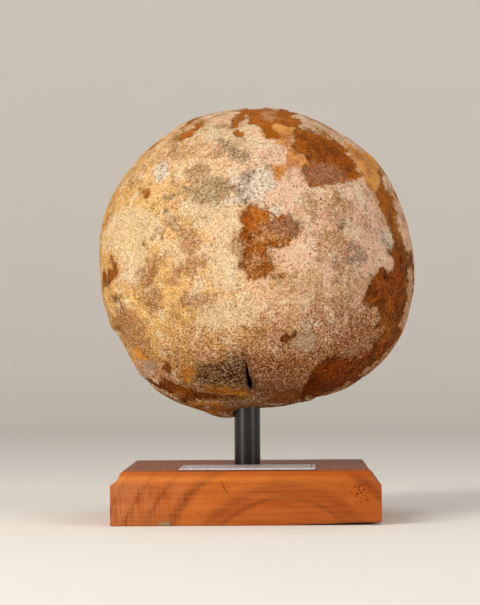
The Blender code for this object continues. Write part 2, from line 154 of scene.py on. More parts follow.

# ---------------------------------------------------------------- the head's markings

# Each marking is a closed line in mm on an upright sheet through the head's centre. It is thrown on to
# the bone from MARKED_FROM, and fades out just past the edge that can be seen from there.
MARKED_FROM = np.array((19.5, -1215.4, 81.9)) * MM
MARKINGS = {
    "cream": (
        # left of the middle
        ((-34.5, 28), (-21, 30), (-10, 26.5), (-9, 15), (-15, 8), (-21, 11), (-24, 18), (-35.5, 24)),
        # between the stains
        ((-25.5, 8), (-17, 11), (-9, 6), (-8, -5), (-15, -14), (-21, -10), (-23, -2), (-26.5, 2)),
        # left
        ((-71, 24), (-59.5, 28), (-46.5, 18), (-48, 9), (-55, 3), (-53, -6.5), (-61, -10.5),
         (-68.5, 0.5), (-72.5, 12.5)),
        # ring
        ((-48, 9), (-41, 12), (-34, 6), (-36, 0), (-47, 3)),
        # upper left
        ((-39.5, 46), (-29.5, 50.5), (-19.5, 47.5), (-16, 42.5), (-37.5, 41)),
        # top
        ((-27.5, 63.5), (-14.5, 66.5), (-1.5, 64.5), (3, 57.5), (-6, 54.5), (-16.5, 59.5),
         (-25.5, 58.5)),
        # below the middle
        ((-30, -24), (-12, -19), (2.5, -20), (0.5, -30), (-15.5, -34), (-28, -31.5)),
    ),
    "tea": (
        # left of the middle, a
        ((-38, 13), (-32, 14), (-28, 11), (-28, 5.5), (-33, 4), (-37, 7.5)),
        # left of the middle, b
        ((-53, 2), (-48, 4.5), (-43.5, 4.5), (-45, 0), (-50.5, -2.5), (-54, -2)),
        # left of the middle, c
        ((-34.5, 0.5), (-29.5, 3.5), (-24.5, 2.5), (-24.5, -2.5), (-30.5, -6.5), (-35.5, -6),
         (-38, -10), (-43, -9.5)),
        # left of the middle, d
        ((-39, -18), (-34.5, -15.5), (-26, -16), (-26, -21), (-31, -23), (-37, -22.5)),
        # beside the middle
        ((-11, 12.5), (-8, 11.5), (-8, 8), (-11, 5.5), (-13.5, 8)),
        # upper left
        ((-34.5, 46.5), (-29, 47.5), (-23, 46.5), (-24, 43.5), (-28.5, 41.5), (-33, 40.5), (-35.5, 43)),
        # under the chalk
        ((7.5, 46), (11.5, 47.5), (14, 46), (11.5, 41), (8.5, 40.5)),
        # lower left flank
        ((-70.5, -27), (-70, -22.5), (-66.5, -21), (-63, -21.5), (-56.5, -30.5), (-53.5, -36.5),
         (-52.5, -43.5), (-53.5, -48.5), (-58, -47), (-67.5, -36.5)),
        # right, above the bare band
        ((40, -39), (44, -27), (51, -25), (58, -25), (60.5, -30.5), (55, -43), (50, -43.5), (31, -50),
         (27.5, -47.5), (35, -43.5)),
        # foot
        ((-18.5, -48.5), (-11, -45), (0.5, -47.5), (10, -44), (20.5, -46.5), (27.5, -50), (29.5, -54),
         (25, -60), (19, -60), (9.5, -65), (0, -66), (-12, -63), (-20, -56)),
        # left, below the middle
        ((-58, -3.5), (-50.5, 0), (-48, -4), (-50.5, -10), (-49, -16), (-51, -23.5), (-54, -20.5),
         (-53, -13.5), (-56.5, -10)),
    ),
    "grey": (
        # upper left
        ((-42.5, 32), (-42.5, 34.5), (-39, 35), (-37, 37.5), (-32, 37.5), (-26.5, 39.5), (-24, 42),
         (-14.5, 40.5), (-11.5, 37.5), (-11, 34), (-16.5, 31), (-22.5, 30), (-28, 30), (-33, 33),
         (-37, 33.5)),
        # top left
        ((-18, 61), (-5.5, 54), (-3, 50.5), (-4, 47.5), (-12.5, 52), (-16.5, 56)),
        # near the crack
        ((-16, -45), (-7.5, -47), (-5, -50), (-7, -54.5), (-13.5, -55), (-16, -53.5)),
    ),
    "amber": (
        # upper right rim
        ((44.5, 58.5), (48.5, 58.5), (58.5, 47), (62, 38.5), (60.5, 35.5), (56.5, 35), (54, 38.5)),
        # between the crowns
        ((4.5, 68), (11, 69), (19, 67), (19.5, 61), (18, 57.5), (28.5, 48), (17.5, 45.5), (10.5, 40.5),
         (8, 45), (15.5, 50), (15, 55), (5, 63.5)),
        # drop
        ((-37, -54.5), (-34.5, -52), (-32, -53), (-33, -59.5), (-35.5, -59), (-37, -56.5)),
        # left flank
        ((-53.5, 60.5), (-57, 55), (-63.5, 47), (-68.5, 38), (-73.5, 28.5), (-77, 17.5), (-77, 23.5),
         (-73.5, 35), (-67.5, 47), (-61, 56)),
        # below the stain
        ((-27.5, -60.5), (-21.5, -61), (-15.5, -62), (-8.5, -62.5), (-3.5, -64), (-5.5, -66.5),
         (-12.5, -66), (-20.5, -65), (-26.5, -63.5)),
        # under the lip, left
        ((-39.5, -66.5), (-30.5, -69), (-21.5, -69.5), (-12.5, -70.5), (-10.5, -74.5), (-16.5, -74.5),
         (-25.5, -72), (-33.5, -70)),
        # left of the crease
        ((-62, -42.5), (-58, -43.5), (-53, -49.5), (-54.5, -51.5), (-59, -48.5), (-62.5, -45)),
        # below the break, right
        ((2.5, -67), (7.5, -64.5), (14, -64), (19, -62.5), (24, -60), (27, -59.5), (30, -64),
         (21, -67.5), (13.5, -69.5), (5.5, -69.5)),
    ),
    "chalk": (
        # upper middle
        ((-12, 39.5), (-9.5, 42), (4.5, 46.5), (11, 37), (5.5, 34), (4, 30.5), (6.5, 28.5), (11.5, 29),
         (13, 26), (7.5, 23), (4, 26.5), (-1, 28.5), (-15, 28), (-17, 29), (-8, 32.5)),
        # flake, lower left
        ((-58, -48.5), (-51.5, -50), (-50, -52.5), (-51.5, -56.5), (-54, -56.5)),
        # flake, right
        ((62.5, 15), (65, 16), (67.5, 14), (67.5, 7), (66, 5.5), (62, 11)),
        # edge, upper left
        ((-60.5, 48), (-57, 52.5), (-53, 57), (-50, 59), (-49, 60), (-52, 57.5), (-56, 53),
         (-59.5, 48.5)),
        # shoulder, upper left
        ((-49, 48), (-45, 49.5), (-41, 47.5), (-45, 40.5), (-49, 40.5), (-50, 43.5)),
        # scab, lower right, a
        ((20.5, -29.5), (25, -30), (28, -34), (28, -38), (24, -39), (21.5, -37), (22, -33.5)),
        # scab, lower right, b
        ((16, -40.5), (21.5, -38), (27.5, -40.5), (27.5, -43.5), (19, -43.5)),
    ),
    "bare": (
        # middle
        ((-1.5, 28.5), (-7.5, 22.5), (-8, 20), (-6.5, 17.5), (-8, 12), (-6.5, 1.5), (-7.5, -2),
         (-4, -8), (1, -9.5), (6.5, -5), (7.5, -2), (6.5, 4.5), (8.5, 6.5), (16, 8.5), (19, 13.5),
         (21.5, 15), (21, 18.5), (17.5, 21.5), (13, 22), (7, 20), (6, 25)),
        # dot under the middle
        ((8.5, -7), (12.5, -6.5), (13, -7.5), (9, -8.5)),
        # upper right
        ((19, 64.5), (24, 65.5), (35.5, 61.5), (44.5, 56), (51.5, 44.5), (51, 41), (28.5, 37.5),
         (26, 39.5), (23.5, 46.5), (26.5, 49.5), (19, 56), (18, 59.5), (19.5, 61.5)),
        # top
        ((-3, 68.5), (-2.5, 71.5), (-4.5, 71.5), (-10, 66.5), (-12, 66.5), (-10.5, 71), (-4.5, 73.5),
         (-4.5, 75.5), (1, 76.5), (5.5, 76.5), (8, 74.5), (12, 76), (22.5, 72.5), (21, 66.5),
         (9.5, 68.5), (9.5, 64.5), (12, 61), (5, 62.5), (3, 67)),
        # spot below the top
        ((-10.5, 63.5), (-9.5, 65), (-7.5, 64.5), (-4.5, 61), (-10, 62)),
        # upper left limb
        ((-60, 48.5), (-47, 58), (-45, 61), (-49, 59.5)),
        # crease, lower left
        ((-70, -41.5), (-67.5, -45.5), (-63.5, -49.5), (-58, -55.5), (-52, -56), (-47, -57.5),
         (-40.5, -60.5), (-33.5, -63), (-25.5, -65), (-14.5, -66.5), (-6.5, -66.5), (-8.5, -68),
         (-17.5, -68.5), (-27, -68), (-34.5, -67.5), (-41.5, -65), (-48, -61.5), (-54, -59),
         (-61, -55.5), (-66, -49.5), (-69.5, -44.5)),
        # pit, lower left
        ((-47, -52.5), (-44, -50.5), (-42.5, -52.5), (-42, -56), (-44.5, -54.5)),
        # upper left streak
        ((-40, 60.5), (-36.5, 64.5), (-24.5, 69), (-31, 64.5), (-30.5, 62.5)),
        # upper left rim
        ((-37.5, 68), (-32.5, 70.5), (-17.5, 74), (-32.5, 69), (-37, 66)),
        # right side
        ((55, 53.5), (63, 42.5), (63.5, 37), (67, 33), (69, 21.5), (74, 6.5), (74.5, -16),
         (71.5, -31.5), (60.5, -48.5), (49.5, -58.5), (32.5, -67), (21, -69.5), (23.5, -62), (31, -51),
         (44, -46), (47, -47), (51, -43), (54, -43), (58.5, -33), (61, -30.5), (59, -23.5),
         (56, -23.5), (53, -17.5), (60.5, -4.5), (63.5, -4), (65.5, -6), (68.5, -0.5), (65, 4.5),
         (67.5, 5.5), (67, 15), (62.5, 23.5), (60, 34), (62, 40)),
        # pit, lower right
        ((12, -38.5), (13.5, -36), (17, -36), (19, -34.5), (20.5, -36), (20, -38), (17.5, -39),
         (13, -39.5)),
        # chip, upper left
        ((-56, 34.5), (-53, 36), (-53, 33), (-55, 32.5)),
        # left hollow
        ((-72, 3), (-70, 0), (-68.5, -4.5), (-70, -7.5), (-72.5, -10), (-73.5, -13), (-74, -9),
         (-72.5, -3.5), (-72.5, 0)),
        # dot, upper left
        ((-56, 9.5), (-53, 9.5), (-53.5, 7.5), (-54.5, 7)),
    ),
    "mauve": (
        # arm of the middle
        ((7.5, 19.5), (14, 22), (17.5, 21.5), (21, 18.5), (21.5, 15), (18.5, 13.5), (13, 13.5),
         (7, 17)),
        # upper right, lower half
        ((24, 45.5), (27.5, 48.5), (35.5, 49), (42.5, 45.5), (44.5, 42), (43.5, 40), (28.5, 37.5),
         (26, 39.5)),
        # right
        ((46.5, 9), (51.5, 7), (54.5, 3), (53.5, -1.5), (49, -3.5), (46, -0.5), (47.5, 3.5), (44.5, 6)),
        # right dot
        ((38, -0.5), (39.5, 1.5), (42.5, 0), (42, -3), (39, -4)),
        # right dot above
        ((40, 18.5), (44, 19), (44.5, 17), (41.5, 15)),
        # in the chalk
        ((-6.5, 43), (-1, 44.5), (-2.5, 38), (-4.5, 37.5)),
    ),
    # Dark soot, and painted shade in the left hollow, in and beside the crack, in the groove above it and
    # beside the right flake.
    "soot_and_shade": (
        # over the rod
        ((-29.5, -51.5), (-27.5, -50), (-21.5, -49.5), (-14.5, -50.5), (-9.5, -49), (-5.5, -48),
         (-3, -51.5), (-2, -57.5), (-3.5, -61.5), (-8.5, -61.5), (-14.5, -61), (-22.5, -61.5),
         (-28.5, -60.5), (-30.5, -56.5)),
        # specks in the chalk
        ((-9, 34), (-7, 34.5), (-5.5, 32), (-3.5, 33), (-5, 28.5)),
        # specks beside it
        ((-11, 38), (-10, 37), (-9.5, 34.5), (-11, 35)),
        # left edge of grey
        ((-43, 33.5), (-40, 34.5), (-38, 33.5), (-40, 31.5), (-42.5, 31.5)),
        # painted shade in the left hollow
        ((-73, -15.5), (-68, -16), (-67, -18), (-69, -20), (-71, -19.5)),
        # painted shade in and beside the crack
        ((-3.5, -53), (-2, -55), (-1, -58), (-1.5, -61.5), (-2.5, -62.5), (-3.5, -59.5), (-4, -56)),
        # shade of the flake
        ((62, 15.5), (61.5, 11.5), (65.5, 4.5), (66.5, 5), (63.5, 9)),
        # groove above the crack, partly painted shade
        ((-7.5, -44), (-6, -44), (-3.5, -49.5), (-1.5, -55), (-3.5, -56), (-5.5, -50.5)),
    ),
    "deep": (
        # upper right
        ((22, 63.5), (37, 59.5), (44.5, 54), (49, 47.5), (47, 43.5), (39.5, 48), (29.5, 50.5),
         (24.5, 55.5)),
        # olive, right
        ((52.5, -13.5), (57.5, -4.5), (64, -3.5), (66.5, -9.5), (64.5, -19.5), (59.5, -22.5),
         (54.5, -21)),
        # lower right
        ((19.5, -62), (30, -52.5), (61.5, -41), (64, -44), (54, -52.5), (43.5, -58.5), (30, -63)),
        # right edge
        ((68, 5.5), (71.5, 3.5), (73, -14.5), (70, -28.5), (67, -19.5), (66.5, -4.5)),
        # middle, left lobe
        ((-7.5, 22.5), (-4.5, 25), (-2, 23.5), (-3.5, 19.5), (-2.5, 13), (-4.5, 5), (-7, 8),
         (-7.5, 16)),
    ),
    "dust": (
        # middle, right lobe
        ((0.5, 15), (3, 17), (6, 18), (10, 16), (13.5, 13.5), (12, 10.5), (8, 10.5), (6, 8.5),
         (1.5, 10.5)),
        # middle, lower lobe
        ((-4, 5), (-1, 6.5), (1, 4.5), (4, 3.5), (4.5, 0), (1.5, -3), (-2.5, -4), (-3.5, 0.5)),
        # middle, left edge
        ((-9.5, 13), (-6.5, 11), (-6, 5), (-8, 1.5), (-10, 7)),
        # top
        ((3, 74.5), (7.5, 75.5), (10.5, 73), (9.5, 70), (4.5, 71)),
        # lower right edge
        ((41, -45), (51, -41), (60, -34.5), (57, -41), (47, -48)),
        # lip over the rod
        ((-18.5, -69.5), (-12, -68.5), (-7, -67), (-3.5, -63.5), (-0.5, -62.5), (3.5, -64.5), (8, -67),
         (2.5, -70), (-4.5, -72), (-12, -71.5), (-17, -72.5)),
    ),
    "line": (
        # large chip
        ((-44.5, 26.5), (-42.5, 23), (-40.5, 23), (-40, 20), (-37, 17), (-38.5, 15.5), (-41.5, 16.5),
         (-42.5, 19.5), (-45, 20.5), (-46, 22.5)),
        # small chip
        ((-48, 18), (-45, 16.5), (-46, 14), (-46.5, 11), (-47.5, 11), (-47, 14), (-49, 14), (-51, 11),
         (-52, 11.5), (-50, 15.5)),
    ),
}
MARKING_REACH = 9.0  # mm either side of a line within which the distance to it is kept
FAR_SIDE = {  # share of the unseen sides that each marking covers, and the size of its patches in mm
    "cream": (0.32, 34),
    "tea": (0.34, 26),
    "grey": (0.14, 20),
    "amber": (0.16, 26),
    "chalk": (0.12, 18),
    "bare": (0.24, 40),
    "deep": (0.35, 18),
    "mauve": (0.12, 16),
    "soot_and_shade": (0.06, 14),
    "dust": (0.12, 14),
    "line": (0.0, 10),
}
ABSENT = 18.0  # a marking this far outside its line, in mm, is gone
PATCH_SLOPE = 0.4  # mm of depth that a patch there gains for each mm of its size
PATCH_SPREAD = 1.1  # how fast a patch shrinks as its share falls
ROUGHNESS = (0.8, 2.1, 4)  # fractal dimension, step in size and number of layers of these clouds
LIMB = (-0.28, 0.04)  # how much a face looks to MARKED_FROM where drawn markings end and begin
LIMB_WANDER = 0.25  # how much this varies
LIMB_WANDER_SIZE = 35 * MM
LIMB_CURVE = 2.6  # how suddenly drawn markings give way to the others
STEEPEST = 0.2  # a face that looks to MARKED_FROM less than this has its edges no steeper
SWAY = 7.0  # mm that markings wander sideways on faces turned away from MARKED_FROM
SWAY_SIZE = 12 * MM
SWAY_LIMB = (0.05, 0.4)  # how much a face looks to MARKED_FROM where they sway fully and not at all

# The visual mesh of the head.
HEAD_DIVISIONS = 98  # along each edge of the icosahedron that the mesh starts from
FRONT_CLOSENESS = 0.72  # how much closer together its points stand at the front than on average

# ---------------------------------------------------------------- helpers


def linear(colour):
    """An sRGB hex colour as linear red, green, blue and alpha."""
    parts = [int(colour[at:at + 2], 16) / 255 for at in (1, 3, 5)]
    return (*(c / 12.92 if c <= 0.04045 else ((c + 0.055) / 1.055) ** 2.4 for c in parts), 1.0)


def add(tree, kind, inputs=(), **settings):
    """Adds a node with its settings and links.

    Its inputs, by number or name, are values, hex colours, sockets, or nodes that stand for their output.
    """
    made = tree.nodes.new(kind)
    for name, value in settings.items():
        setattr(made, name, value)
    for slot, value in inputs.items() if isinstance(inputs, dict) else enumerate(inputs):
        if isinstance(value, bpy.types.Node):
            value = next(socket for socket in value.outputs if socket.enabled)
        if isinstance(value, bpy.types.NodeSocket):
            tree.links.new(value, made.inputs[slot])
        elif isinstance(value, str) and value.startswith("#"):
            made.inputs[slot].default_value = linear(value)
        else:
            made.inputs[slot].default_value = value
    return made


def tinted(tree, colour, tint, height, start, end, strength=1.0):
    """Lays a tint over a colour: none where a height is at start, at full strength where it is at end."""
    share = add(tree, "ShaderNodeMapRange", (height, start, end, 0.0, strength),
                interpolation_type="SMOOTHSTEP")
    return add(tree, "ShaderNodeMix", {0: share, 6: colour, 7: tint}, data_type="RGBA")


def smoothstep(value, start, end):
    """0 up to start, 1 from end on, and a soft rise between them."""
    share = np.clip((value - start) / (end - start), 0.0, 1.0)
    return share * share * (3 - 2 * share)


def smooth_min(first, second, width):
    """The smaller of two lengths, rounded over where they cross."""
    mix = np.clip(0.5 + 0.5 * (second - first) / width, 0.0, 1.0)
    return second + (first - second) * mix - width * mix * (1 - mix)


def new_object(name, mesh):
    made = bpy.data.objects.new(name, mesh)
    bpy.context.scene.collection.objects.link(made)
    return made


def as_mesh(shape, name):
    """A mesh of a shape's faces. The shape is done with."""
    mesh = bpy.data.meshes.new(name)
    shape.to_mesh(mesh)
    shape.free()
    return mesh


def round_row(shape, radius, height, segments):
    """A row of points round the Z axis."""
    turns = [2 * math.pi * step / segments for step in range(segments)]
    return [shape.verts.new((radius * math.cos(t), radius * math.sin(t), height)) for t in turns]


def join_rows(shape, rows):
    """Faces between each closed row of points and the next. They point outwards where rows go upwards."""
    for near, far in zip(rows, rows[1:]):
        for step in range(len(near)):
            after = (step + 1) % len(near)
            shape.faces.new((near[step], near[after], far[after], far[step]))


def store(mesh, name, values):
    """Keeps a number for each of a mesh's points."""
    mesh.attributes.new(name, "FLOAT", "POINT").data.foreach_set("value", values.astype(np.float32))


def face_out(mesh):
    """Turns the faces of a closed mesh outwards."""
    shape = bmesh.new()
    shape.from_mesh(mesh)
    bmesh.ops.recalc_face_normals(shape, faces=shape.faces[:])
    shape.to_mesh(mesh)
    shape.free()


def smoothed(mesh, sharpest):
    """Shades a mesh smooth, apart from edges where it turns by more than some degrees."""
    mesh.shade_smooth()
    mesh.set_sharp_from_angle(angle=math.radians(sharpest))


def finished(obj, slot, *nodes):
    """Makes an object's modifiers part of its mesh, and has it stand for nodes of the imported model."""
    graph = bpy.context.evaluated_depsgraph_get()
    mesh = bpy.data.meshes.new_from_object(obj.evaluated_get(graph))
    obj.modifiers.clear()
    obj.data = mesh
    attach(obj, "root")
    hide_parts(*nodes)
    return obj


def through_tree(obj, tree, values):
    """Puts a Geometry Nodes tree on an object and sets its named inputs."""
    made = obj.modifiers.new(tree.name, "NODES")
    made.node_group = tree
    for item in tree.interface.items_tree:
        if item.name in values:
            made[item.identifier] = values[item.name]


def new_tree(name, **inputs):
    """A Geometry Nodes tree with a geometry in and out, and a named input for each type given."""
    tree = bpy.data.node_groups.new(name, "GeometryNodeTree")
    tree.interface.new_socket(name="Geometry", in_out="INPUT", socket_type="NodeSocketGeometry")
    tree.interface.new_socket(name="Geometry", in_out="OUTPUT", socket_type="NodeSocketGeometry")
    for label, kind in inputs.items():
        tree.interface.new_socket(
            name=label.replace("_", " "), in_out="INPUT", socket_type="NodeSocket" + kind
        )
    return tree, tree.nodes.new("NodeGroupInput").outputs


# ---------------------------------------------------------------- the head


def outline_radius(turn):
    """The head's radius at an angle from its right-hand side, on a curve through HEAD_OUTLINE."""
    degrees = np.array([point[0] for point in HEAD_OUTLINE], float)
    radii = np.array([point[1] for point in HEAD_OUTLINE], float) * MM
    count = len(degrees)
    at = np.degrees(turn) % 360
    index = np.searchsorted(degrees, at, side="right") - 1
    knots = np.concatenate([degrees[-1:] - 360, degrees, degrees[:2] + 360])
    share = (at - knots[index + 1]) / (knots[index + 2] - knots[index + 1])
    before, start, end, after = (radii[(index + shift) % count] for shift in (-1, 0, 1, 2))
    slope_in, slope_out = (end - before) / 2, (after - start) / 2
    squared, cubed = share**2, share**3
    return (
        start * (2 * cubed - 3 * squared + 1)
        + slope_in * (cubed - 2 * squared + share)
        + end * (3 * squared - 2 * cubed)
        + slope_out * (cubed - squared)
    )


def distance_to_line(across, up, line):
    """How far points are from a line through (x, z) points in mm, and whether they lie below it."""
    nearest = np.full(across.shape, np.inf)
    below = np.zeros(across.shape, bool)
    for (x0, z0), (x1, z1) in zip(line, line[1:]):
        ax, az, bx, bz = x0 * MM, z0 * MM, x1 * MM, z1 * MM
        along = ((across - ax) * (bx - ax) + (up - az) * (bz - az)) / ((bx - ax) ** 2 + (bz - az) ** 2)
        along = np.clip(along, 0, 1)
        gap = np.hypot(across - ax - along * (bx - ax), up - az - along * (bz - az))
        side = (bx - ax) * (up - az) - (bz - az) * (across - ax) < 0
        below = np.where(gap < nearest, side, below)
        nearest = np.minimum(gap, nearest)
    return nearest, below


def growth_plate(across, up):
    """How far behind BACK_DEPTH the growth plate stands, and how high its mounds are there."""
    out = np.hypot(across, up)
    dish = -DISH_DEPTH * np.clip(1 - (out / DISH_RADIUS) ** 2, 0, 1) ** 1.5
    mounds = np.zeros(out.shape)
    for number in range(1, MOUNDS + 1):
        away = MOUND_SPACING * (math.sqrt(number) + MOUND_STRAY * math.sin(5 * number))
        turn = number * GOLDEN_ANGLE
        gap = np.hypot(across - away * math.cos(turn), up - away * math.sin(turn))
        tall = MOUND_HEIGHT * (1 - MOUND_UNEVENNESS * (0.5 + 0.5 * math.sin(3 * number)))
        mounds = np.maximum(mounds, tall * (1 - (gap / MOUND_RADIUS) ** 2))
    return dish + mounds, mounds


def head_surface(directions):
    """The head's radius in each direction, how much growth plate is there, and its mounds' height."""
    across, back, up = directions.T
    polar = np.arccos(np.clip(-back, -1, 1))
    turn = np.arctan2(up, across)
    flattened = HEAD_MEAN * (1 - DOME_FLATTENING * back**2)
    radius = flattened + (outline_radius(turn) - HEAD_MEAN) * smoothstep(polar, *SHOULDER)

    # The broken foot is a slanting plane, which runs out towards the back.
    drop = up + BREAK_SLOPE * back
    reach = (BREAK_HEIGHT + BREAK_SLOPE * BREAK_Y) / np.minimum(drop, -LEAST_SLOPE)
    reach = reach + smoothstep(radius * back, *BREAK_END) * BREAK_RUNOUT
    radius = np.where(drop < -BREAK_LEAST, smooth_min(radius, reach, BREAK_BLEND), radius)

    # The crease, the lip below it and the swellings are on the front alone.
    front = smoothstep(-back, *FRONT_EDGE)
    x, z = radius * across, radius * up
    gap, below = distance_to_line(x, z, CREASE)
    crease = CREASE_DEPTH * np.exp(-((gap / CREASE_WIDTH) ** 2))
    lip = LIP_RISE * np.exp(-(((gap - LIP_WIDTH) / LIP_WIDTH) ** 2))
    radius = radius - front * crease
    radius = radius + front * np.where(below, lip, 0.0)
    for (seen_x, seen_z), wide, height in SWELLINGS:
        gap = np.hypot(x - seen_x * MM, z - seen_z * MM) / (wide * MM)
        radius = radius + front * height * MM * np.exp(-(gap**2) * SWELLING_FALL)

    # The growth plate cuts off the back.
    depth = BACK_DEPTH / np.maximum(back, LEAST_SLOPE)
    behind, mounds = growth_plate(depth * across, depth * up)
    plate = (BACK_DEPTH + behind) / np.maximum(back, LEAST_SLOPE)
    on_plate = np.where(back > PLATE_START, smoothstep(radius - plate, *PLATE_RIM), 0.0)
    radius = np.where(back > PLATE_START, smooth_min(radius, plate, BACK_BLEND), radius)
    return radius, on_plate, mounds / MOUND_HEIGHT


def even_directions(divisions, closeness):
    """Directions and triangles of a ball: an icosahedron's faces divided, then drawn towards -Y."""
    shape = bmesh.new()
    bmesh.ops.create_icosphere(shape, subdivisions=1, radius=1.0)
    corners = np.array([vert.co for vert in shape.verts])
    sides = [[vert.index for vert in face.verts] for face in shape.faces]
    shape.free()
    steps = [(i, j) for i in range(divisions + 1) for j in range(divisions + 1 - i)]
    weights = np.array([(divisions - i - j, i, j) for i, j in steps], float) / divisions
    number = {step: at for at, step in enumerate(steps)}
    local = []
    for i, j in steps:
        if i + j < divisions:
            local.append((number[i, j], number[i + 1, j], number[i, j + 1]))
        if i + j < divisions - 1:
            local.append((number[i + 1, j], number[i + 1, j + 1], number[i, j + 1]))
    local = np.array(local)
    points = np.concatenate([weights @ corners[side] for side in sides])
    faces = np.concatenate([local + at * len(steps) for at in range(len(sides))])
    _, first, merged = np.unique(np.round(points, 6), axis=0, return_index=True, return_inverse=True)
    points, faces = points[first], merged.reshape(-1)[faces]
    points /= np.linalg.norm(points, axis=1)[:, None]
    polar = np.arccos(np.clip(-points[:, 1], -1, 1))
    drawn = 2 * np.arctan(closeness * np.tan(np.minimum(polar, math.pi - 1e-6) / 2))
    ring = np.hypot(points[:, 0], points[:, 2])
    stretch = np.where(ring > 1e-9, np.sin(drawn) / np.maximum(ring, 1e-9), 0.0)
    return np.stack([points[:, 0] * stretch, -np.cos(drawn), points[:, 2] * stretch], axis=1), faces


def smooth_loop(outline, steps=4):
    """Points along a smooth closed curve through an outline's points."""
    at = np.array(outline, float)
    before, after, later = np.roll(at, 1, 0), np.roll(at, -1, 0), np.roll(at, -2, 0)
    made = []
    for share in np.arange(steps) / steps:
        made.append(0.5 * (
            2 * at + (after - before) * share
            + (2 * before - 5 * at + 4 * after - later) * share**2
            + (3 * at - before - 3 * after + later) * share**3
        ))
    return np.stack(made, axis=1).reshape(-1, 2)


def depth_inside(x, z, outline):
    """How far inside a closed line points lie, in mm, less than 0 outside it."""
    loop = smooth_loop(outline)
    low, high = loop.min(axis=0) - MARKING_REACH, loop.max(axis=0) + MARKING_REACH
    near = np.flatnonzero((x > low[0]) & (x < high[0]) & (z > low[1]) & (z < high[1]))
    px, pz = x[near], z[near]
    gap = np.full(len(near), MARKING_REACH)
    inside = np.zeros(len(near), bool)
    for (ax, az), (bx, bz) in zip(loop, np.roll(loop, -1, 0)):
        long = max((bx - ax) ** 2 + (bz - az) ** 2, 1e-9)
        along = np.clip(((px - ax) * (bx - ax) + (pz - az) * (bz - az)) / long, 0, 1)
        gap = np.minimum(gap, np.hypot(px - ax - along * (bx - ax), pz - az - along * (bz - az)))
        if az != bz:
            inside ^= ((az > pz) != (bz > pz)) & (px < (bx - ax) * (pz - az) / (bz - az) + ax)
    depth = np.full(x.shape, -MARKING_REACH)
    depth[near] = np.where(inside, gap, -gap)
    return depth


def marking_depths(points, directions):
    """For each marking, how far inside it each of the head's points lies, in mm."""
    away = points + HEAD_CENTRE - MARKED_FROM
    share = (HEAD_CENTRE[1] - MARKED_FROM[1]) / away[:, 1]
    sheet = (MARKED_FROM + share[:, None] * away - HEAD_CENTRE) / MM
    facing = -(directions * away).sum(axis=1) / np.linalg.norm(away, axis=1)
    shifts = (Vector((SEED, 0, 3.7)), Vector((0, 9.1, SEED)))  # where in the noise each sway is read
    sway = [[noise.noise(Vector(point / SWAY_SIZE) + shift) for shift in shifts] for point in points]
    sheet[:, ::2] += SWAY * (1 - smoothstep(facing, *SWAY_LIMB))[:, None] * np.array(sway)
    wander = np.array([noise.fractal(Vector(point / LIMB_WANDER_SIZE), *ROUGHNESS) for point in points])
    seen = smoothstep(facing + LIMB_WANDER * wander, *LIMB)
    fading, rising = ABSENT * (1 - seen) ** LIMB_CURVE, ABSENT * seen**LIMB_CURVE
    steeper = 1 / np.sqrt(np.clip(facing, STEEPEST, 1))
    unseen = np.flatnonzero(seen < 1)
    made = {}
    for layer, (name, outlines) in enumerate(MARKINGS.items()):
        drawn = np.max([depth_inside(sheet[:, 0], sheet[:, 2], line) for line in outlines], axis=0)
        cover, size = FAR_SIDE[name]
        far = np.full(len(points), -ABSENT)
        if cover:
            shift = Vector((11.3 * layer, SEED, -4.7 * layer))  # each marking's own part of the noise
            places = points[unseen] / (size * MM)
            cloud = np.array([noise.fractal(Vector(place) + shift, *ROUGHNESS) for place in places])
            far[unseen] = (cloud - PATCH_SPREAD * (0.5 - cover)) * PATCH_SLOPE * size
        depth = np.maximum(drawn * steeper - fading, far - rising)
        made[name] = np.clip(depth, -MARKING_REACH, MARKING_REACH)
    return made


